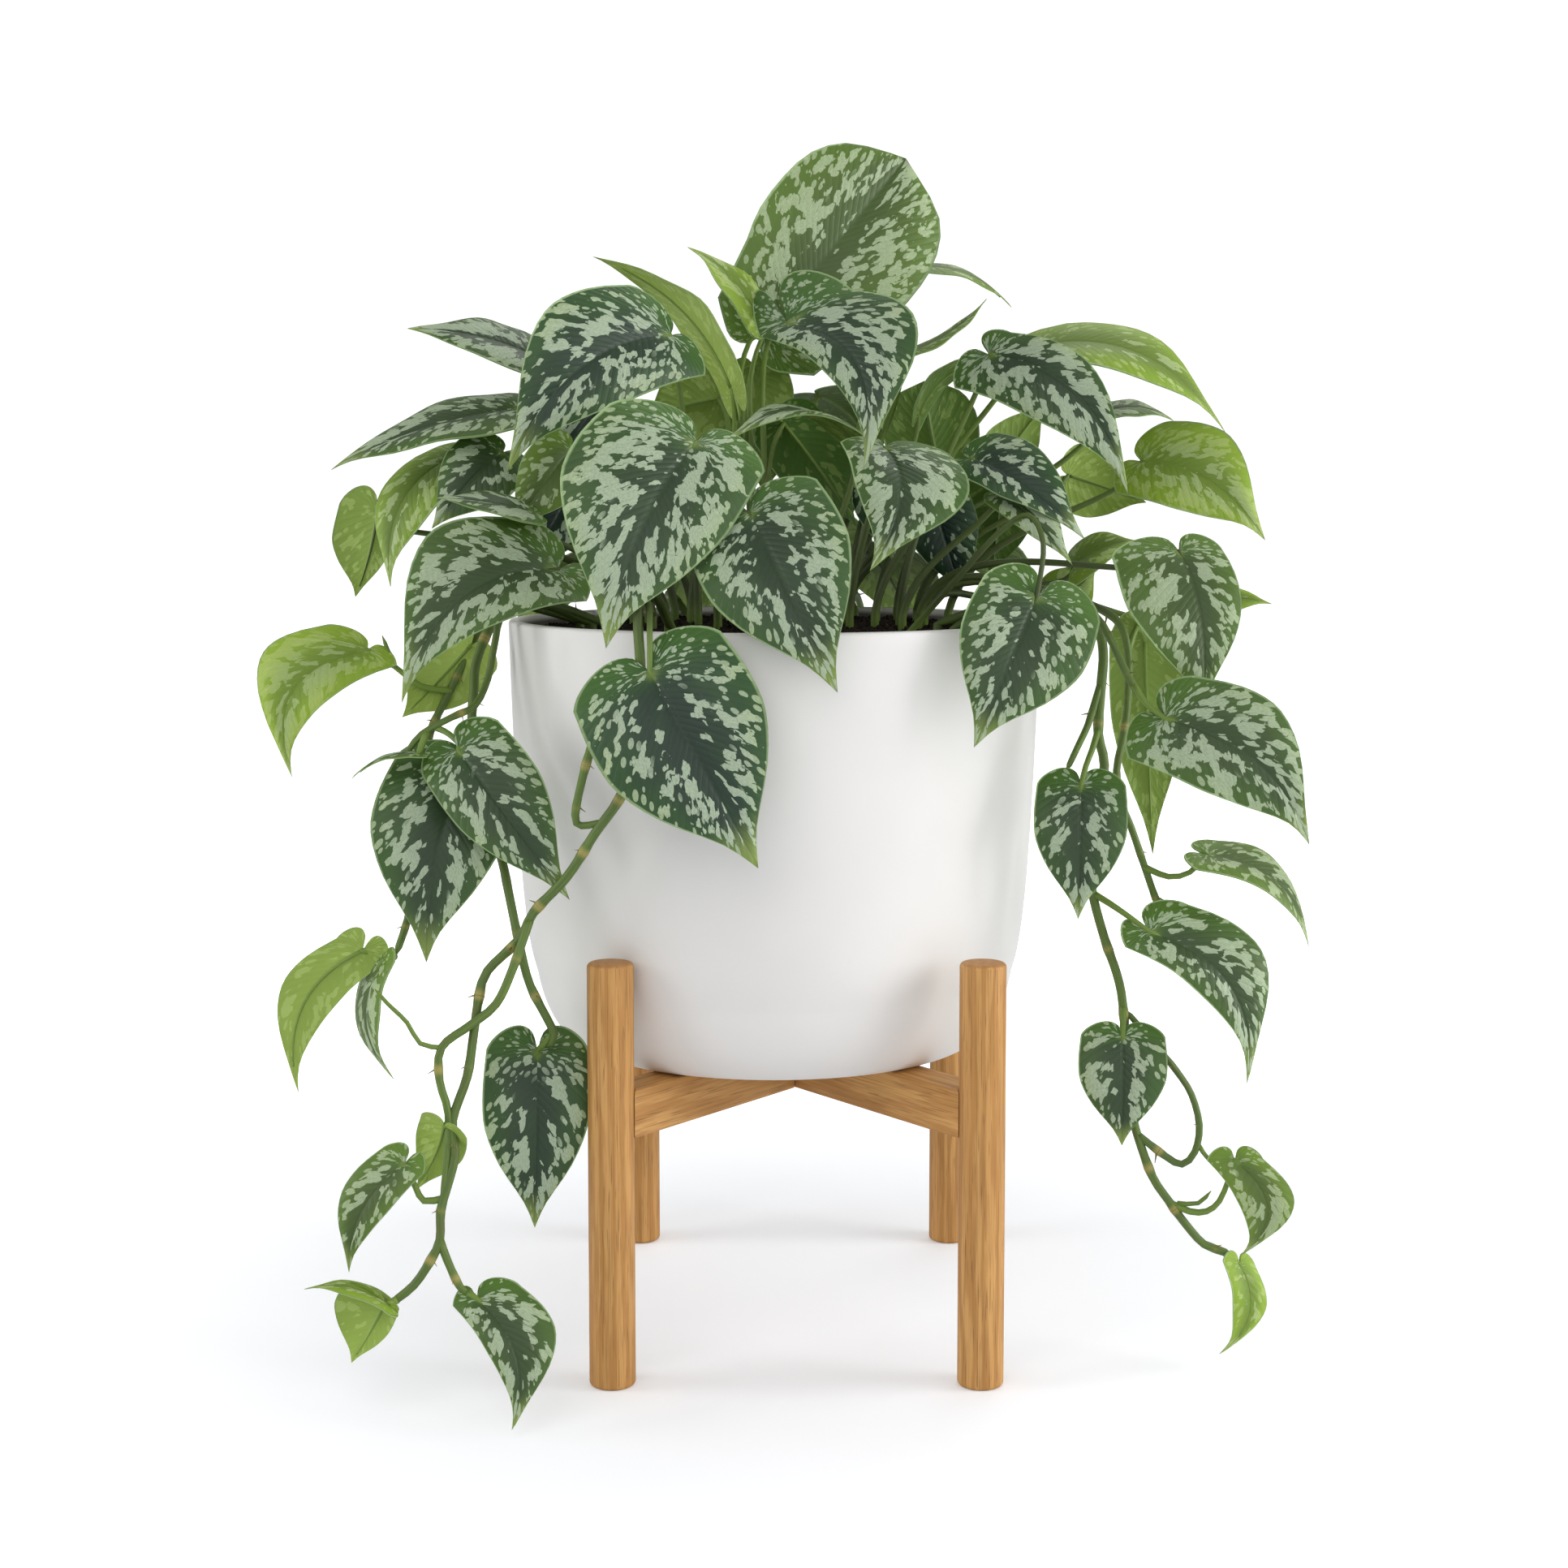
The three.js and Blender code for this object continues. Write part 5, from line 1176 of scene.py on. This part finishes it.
# Stems that trail over the rim.
trailingStems = [
    drawStem("vine_left_long", [-50, -74], vines=[
        drawVine([[-60, 340, -94], [-67, 343, -112], [-68, 326, -129], [-67, 303, -131], [-69, 277, -129],
                  [-75, 248, -126], [-89, 227, -122], [-102, 207, -118], [-118, 190, -115], [-125, 177, -115],
                  [-140, 162, -117], [-144, 150, -120], [-147, 130, -124], [-150, 111, -128],
                  [-157, 90, -132], [-156, 73, -136], [-160, 57, -140], [-163, 46, -143], [-163.5, 32, -146],
                  [-168, 22, -148], [-176, 10, -150], [-187, 1, -152]], rooted=True),
        drawVine([[-163.5, 32, -146], [-160, 22, -147], [-154, 9, -149], [-147, 3, -150]], radius=1.9),
        drawVine([[-120, 186, -115], [-128, 163, -122], [-136, 146, -124], [-148, 136, -126],
                  [-162, 125, -128], [-163, 109, -130], [-159, 93, -132], [-160, 69, -137], [-162, 50, -142]],
                 radius=2),
        drawVine([[-162, 125, -128], [-172, 127, -130], [-178, 137, -132], [-187, 146, -133],
                  [-193, 153, -134]], radius=vineForm["slim"]),
        drawVine([[-89, 272, -128], [-94, 255, -124], [-98, 236, -121], [-95, 231, -120], [-84, 233, -124]],
                 radius=1.9),
    ], leaves=[
        drawLeaf([-62.5, 303, -137], [-12, 210, -152], 38, 36, 0.08, 0.38, arch=0.1,
                 stalk=[[-66.5, 344, -108], [-63, 334, -124], [-62.5, 320, -134]]),
        drawLeaf([-161, 87, -134], [-175, 56, -132], 12, 12, 0.85, 0.2, roll=165, arch=0.2,
                 stalk=[[-158, 90, -132]]),
        drawLeaf([-180, 69, -138], [-207, 16, -142], 13, 10, 0.45, 0.5, roll=-15, bend=-0.1,
                 stalk=[[-162, 52, -141], [-171, 51, -140], [-175, 58, -139]]),
        drawLeaf([-188, 0, -152], [-228, 8, -156], 10, 10, 0.9, 0.1, roll=-70, stalk=[[-184, 3, -152]]),
        drawLeaf([-190, 0, -153], [-206, -28, -160], 7, 20, 0.85, 0.1, roll=172, stalk=[[-184, 3, -152]]),
        drawLeaf([-146, 3, -152], [-130, -62, -172], 11, 20, 0.3, 0.6, bend=0.17, stalk=[[-150, 6, -150]]),
    ]),
    drawStem("vine_left_heart", [-88, -35], vines=[
        drawVine([[-113, 338, -40], [-129, 337, -45], [-139, 325, -50], [-145, 309, -56], [-146, 296, -62],
                  [-147, 280, -68], [-145, 257, -76], [-139, 234, -84], [-133, 215, -92], [-130, 200, -98],
                  [-125, 175, -106], [-120, 155, -106], [-109, 132, -104], [-113, 126, -100]], rooted=True),
    ], leaves=[
        drawLeaf([-153, 267, -97], [-101, 196, -112], 20, 23, 0.22, 0.52,
                 stalk=[[-147, 280, -68], [-151, 278, -85]]),
        drawLeaf([-117, 124, -97], [-119, 38, -100], 23.6, 23.6, 0.15, 0.5,
                 stalk=[[-110, 132, -103], [-114, 127, -100]]),
    ]),
    drawStem("vine_left_outer", [-95, -15], vines=[
        drawVine([[-118, 337, -22], [-131, 338, -26], [-141, 330, -30], [-147, 319, -34], [-158, 296, -42],
                  [-165, 282, -48], [-168, 272, -54], [-170, 253, -66], [-173, 219, -82], [-177, 192, -92],
                  [-180, 180, -97], [-184, 169, -102]], radius=2, rooted=True),
        drawVine([[-183, 308, -50], [-186, 315, -50], [-189, 323, -50]], radius=vineForm["slim"]),
    ], leaves=[
        drawLeaf([-196, 316, -52], [-232, 255, -64], 24, 16, 1.0, 0.9, roll=-10, bend=-0.26, lobe=0.08,
                 stalk=[[-157, 297, -42], [-171, 299, -47], [-183, 308, -50]]),
        drawLeaf([-148, 318, -38], [-180, 284, -56], 17, 17, 1.0, 0.2, roll=175, stalk=[[-147, 319, -34]]),
        drawLeaf([-150, 259, -86], [-169, 166, -107], 32, 27, 0.2, 0.52, bend=-0.05,
                 stalk=[[-166, 280, -49], [-158, 276, -66], [-151, 268, -79]]),
        drawLeaf([-199, 172, -110], [-230, 103, -122], 13, 13, 0.8, 0.3, roll=180, bend=0.21,
                 stalk=[[-184, 169, -102], [-193, 170, -106]]),
        drawLeaf([-190, 166, -112], [-185, 110, -118], 17, 17, 0.5, 0.7, roll=-70, bend=-0.19,
                 stalk=[[-184, 169, -102], [-188, 169, -108]]),
    ]),
    drawStem("vine_left_side", [-78, -56], vines=[
        drawVine([[-112, 338, -60], [-131, 333, -68], [-136, 317, -72], [-139, 302, -75], [-145, 289, -84],
                  [-156, 283, -92], [-170, 275, -96], [-178, 265, -97]], radius=1.8, rooted=True),
    ], leaves=[
        drawLeaf([-172, 265, -100], [-203, 254, -100], 6, 6, 0.4, 0.4, roll=-80,
                 stalk=[[-168, 276, -95.5], [-170, 270, -98]]),
    ]),
    drawStem("vine_right_long", [70, -46], vines=[
        drawVine([[112, 341, -50], [130, 340, -54], [146, 327, -58], [150, 315, -60], [149, 296, -64],
                  [148, 276, -68], [151, 261, -70], [148, 238, -72], [145, 215, -73], [146, 200, -74],
                  [152, 178, -75], [158, 161, -76], [161, 146, -77], [164, 111, -78], [166, 94, -79],
                  [169, 82, -80], [176, 63, -81], [184, 51, -82], [192, 40, -83], [201, 30, -84],
                  [211, 26, -85], [216, 21, -86]], rooted=True),
        drawVine([[168, 84, -80], [182, 73, -82], [190, 69, -83], [196, 75, -84], [198, 88, -84],
                  [194, 103, -83], [187, 114, -82], [179, 124, -81], [162, 144, -77]], radius=1.7),
        drawVine([[198, 78, -84], [203, 71, -85], [211, 67, -87]], radius=vineForm["slim"]),
        drawVine([[188, 50, -83], [198, 50, -84], [204, 56, -86]], radius=vineForm["slim"]),
        drawVine([[149, 300, -63], [146, 290, -68], [143, 280, -73], [138, 269, -78], [133, 258, -80]],
                 radius=1.7),
    ], leaves=[
        drawLeaf([140, 251, -86], [139, 187, -92], 20.5, 20.5, 0.2, 0.5,
                 stalk=[[148, 278, -68], [145, 268, -76], [142, 260, -82]]),
        drawLeaf([173, 181, -86], [220, 108, -97], 14, 24, 0.3, 0.65, roll=20, bend=0.18,
                 stalk=[[146, 200, -74], [154, 195, -78], [164, 188, -82]]),
        drawLeaf([161, 131, -86], [161, 78, -92], 19.6, 19.6, 0.22, 0.5,
                 stalk=[[161, 146, -77], [161, 138, -82]]),
        drawLeaf([215, 71, -92], [218, 24, -94], 13, 13, 0.6, 0.6, bend=0.3,
                 stalk=[[185, 50, -82], [194, 46, -84], [202, 46, -86], [208, 51, -88], [212, 61, -90]]),
        drawLeaf([218, 20, -88], [209, -24, -94], 10, 10, 0.95, 0.15, roll=40, bend=0.17,
                 stalk=[[213, 24, -86], [216, 21, -87]]),
    ]),
    drawStem("vine_right_branch", [84, -18], vines=[
        drawVine([[113, 341, -22], [135, 341, -28], [156, 331, -38], [162, 315, -44], [162, 292, -50],
                  [160, 275, -56], [157, 259, -60], [159, 244, -62], [164, 232, -62], [170, 215, -62],
                  [176, 198, -62], [182, 184, -60]], radius=2, rooted=True),
    ], leaves=[
        drawLeaf([200, 218, -72], [250, 174, -80], 18, 18, 0.5, 0.6, roll=62, bend=0.19,
                 stalk=[[170, 213, -62], [182, 208, -66], [192, 210, -69]]),
        drawLeaf([170, 322, -33], [175, 219, -38], 17, 17, 0.5, 0.15, roll=180,
                 stalk=[[162, 315, -44], [166, 327, -38]]),
    ]),
    drawStem("vine_right_front", [76, -62], vines=[
        drawVine([[112, 342, -66], [132, 339, -70], [146, 331, -76], [154, 318, -82], [161, 303, -90],
                  [168, 291, -96]], radius=2, rooted=True),
    ], leaves=[
        drawLeaf([179, 282, -102], [247, 222, -116], 25, 25, 0.3, 0.75, bend=0.14,
                 stalk=[[164, 298, -93], [170, 289, -98]]),
    ]),
]

# Short vines behind the pot, in plain places.
backVines = [
    drawStem("vine_back_left", [-50, 80], vines=[
        drawVine([point(-56, 98, 338), point(-60, 120, 339), point(-61, 131, 333), point(-61, 134, 320),
                  point(-58, 137, 298), point(-54, 140, 268), point(-50, 142, 240), point(-48, 143, 214)],
                 radius=2, rooted=True),
    ], leaves=[
        drawLeaf(point(-64, 145, 300), point(-76, 165, 226), 24, 24, 0.35, 0.5, face=point(-0.2, 1, 0.3),
                 stalk=[point(-58, 137, 298), point(-61, 141, 303)]),
        drawLeaf(point(-48, 149, 214), point(-47, 163, 156), 18, 18, 0.5, 0.5, face=point(0, 1, 0.2),
                 stalk=[point(-50, 142, 240), point(-49, 146, 222)]),
    ]),
    drawStem("vine_back_right", [36, 88], vines=[
        drawVine([point(34, 104, 338), point(37, 124, 339), point(40, 134, 333), point(43, 137, 320),
                  point(47, 139, 300), point(46, 141, 276)], radius=2, rooted=True),
    ], leaves=[
        drawLeaf(point(47, 147, 276), point(58, 168, 202), 24, 24, 0.35, 0.5, face=point(0.2, 1, 0.3),
                 stalk=[point(47, 139, 300), point(47, 143, 282)]),
    ]),
]


def aroundPot(degrees, radius, z):
    turn = math.radians(degrees)
    return point(pot["axisX"] + radius * math.cos(turn), radius * math.sin(turn), z)


# A tier of leaves that fan out over the back rim, every second one a little lower and closer in.
def backTier(name, count, first, root, base, baseZ, tip, tipZ, half, step=22):
    tier = []
    for k in range(count):
        degrees = first + step * k
        low = k % 2
        foot = aroundPot(degrees, root - 10 * low, 0)
        leaf = drawLeaf(aroundPot(degrees + 4, base - 6 * low, baseZ - 12 * low),
                        aroundPot(degrees - 5 + 8 * low, tip - 8 * low, tipZ - 14 * low),
                        half, half - 2, 0.25 + 0.12 * (k % 3), 0.5 + 0.08 * (k % 4),
                        face=aroundPot(degrees, 1, 0.9) + point(-pot["axisX"], 0, 0))
        tier.append(drawStem(f"{name}_{k + 1}", [foot[0], foot[1]], [leaf]))
    return tier


allStems = [
    *crownStems,
    *trailingStems,
    *backTier("leafy_stem_back_high", count=4, first=68, root=46, base=68, baseZ=440, tip=122, tipZ=404,
              half=25),
    *backTier("leafy_stem_back_low", count=6, first=36, root=74, base=98, baseZ=376, tip=160, tipZ=322,
              half=30),
    *backVines,
]


# Little roots at the knots of the vines.
rootlets = dict(length=4.6, radius=0.55, pointRadius=0.15, shortest=0.45, sides=6, seed=4,
                green="#7c8a45", dry="#6e5a34")


def rootletTree(material):
    tree, w, given = newShapeTree("vineRootlets", {"Length": "Float", "Radius": "Float", "Sides": "Int",
                                                   "Seed": "Int"})
    peg = w.add("GeometryNodeMeshCone", {"Vertices": given["Sides"], "Side Segments": 2,
                                         "Radius Top": rootlets["pointRadius"] * metre,
                                         "Radius Bottom": given["Radius"], "Depth": given["Length"]})
    way = w.add("GeometryNodeInputNamedAttribute", data_type="FLOAT_VECTOR")
    way.inputs["Name"].default_value = "outward"
    turn = w.add("FunctionNodeAlignRotationToVector", {"Vector": way.outputs[0]}, axis="Z")
    size = w.add("FunctionNodeRandomValue", {"Seed": given["Seed"]}, data_type="FLOAT")
    size.inputs[2].default_value = rootlets["shortest"]
    size.inputs[3].default_value = 1.0
    spots = w.add("GeometryNodeMeshToPoints", {"Mesh": given["Geometry"]})
    spread = w.add("GeometryNodeInstanceOnPoints",
                   {"Points": spots.outputs[0], "Instance": peg.outputs["Mesh"],
                    "Rotation": turn.outputs[0], "Scale": size.outputs[1]})
    real = w.add("GeometryNodeRealizeInstances", {"Geometry": spread.outputs[0]})
    endShapeTree(w, real.outputs[0], material)
    return tree


def addRootlets(knots):
    material = rootletMaterial()
    spots = addPiece("vineRootletPegs", [spot for spot, _ in knots], [], [material])
    outward = spots.data.attributes.new("outward", "FLOAT_VECTOR", "POINT")
    outward.data.foreach_set("vector", [float(c) for _, way in knots for c in way])
    addShapeTree(spots, "pegs", rootletTree(material),
                 {"Length": rootlets["length"] * metre, "Radius": rootlets["radius"] * metre,
                  "Sides": rootlets["sides"], "Seed": rootlets["seed"]})
    finishPiece(spots)


def main():
    addCamera()
    addLamps()
    addSky()
    addFloor()
    print("camera, lamps and floor")
    grain = grainGroup()
    addLegs(grain)
    addBars(grain)
    print("stand")
    addPot()
    addSoil()
    print("pot and soil")
    groups = splashGroup(), reliefGroup()
    materials = [leafTopMaterial(groups), leafUnderMaterial(groups), vineMaterial()]
    knots = []
    for number, stem in enumerate(allStems):
        growStem(stem, materials, number, knots)
    addRootlets(knots)
    print("plant:", len(allStems), "stems,", sum(len(stem["leaves"]) for stem in allStems), "leaves")


main()
bpy.context.view_layer.update()
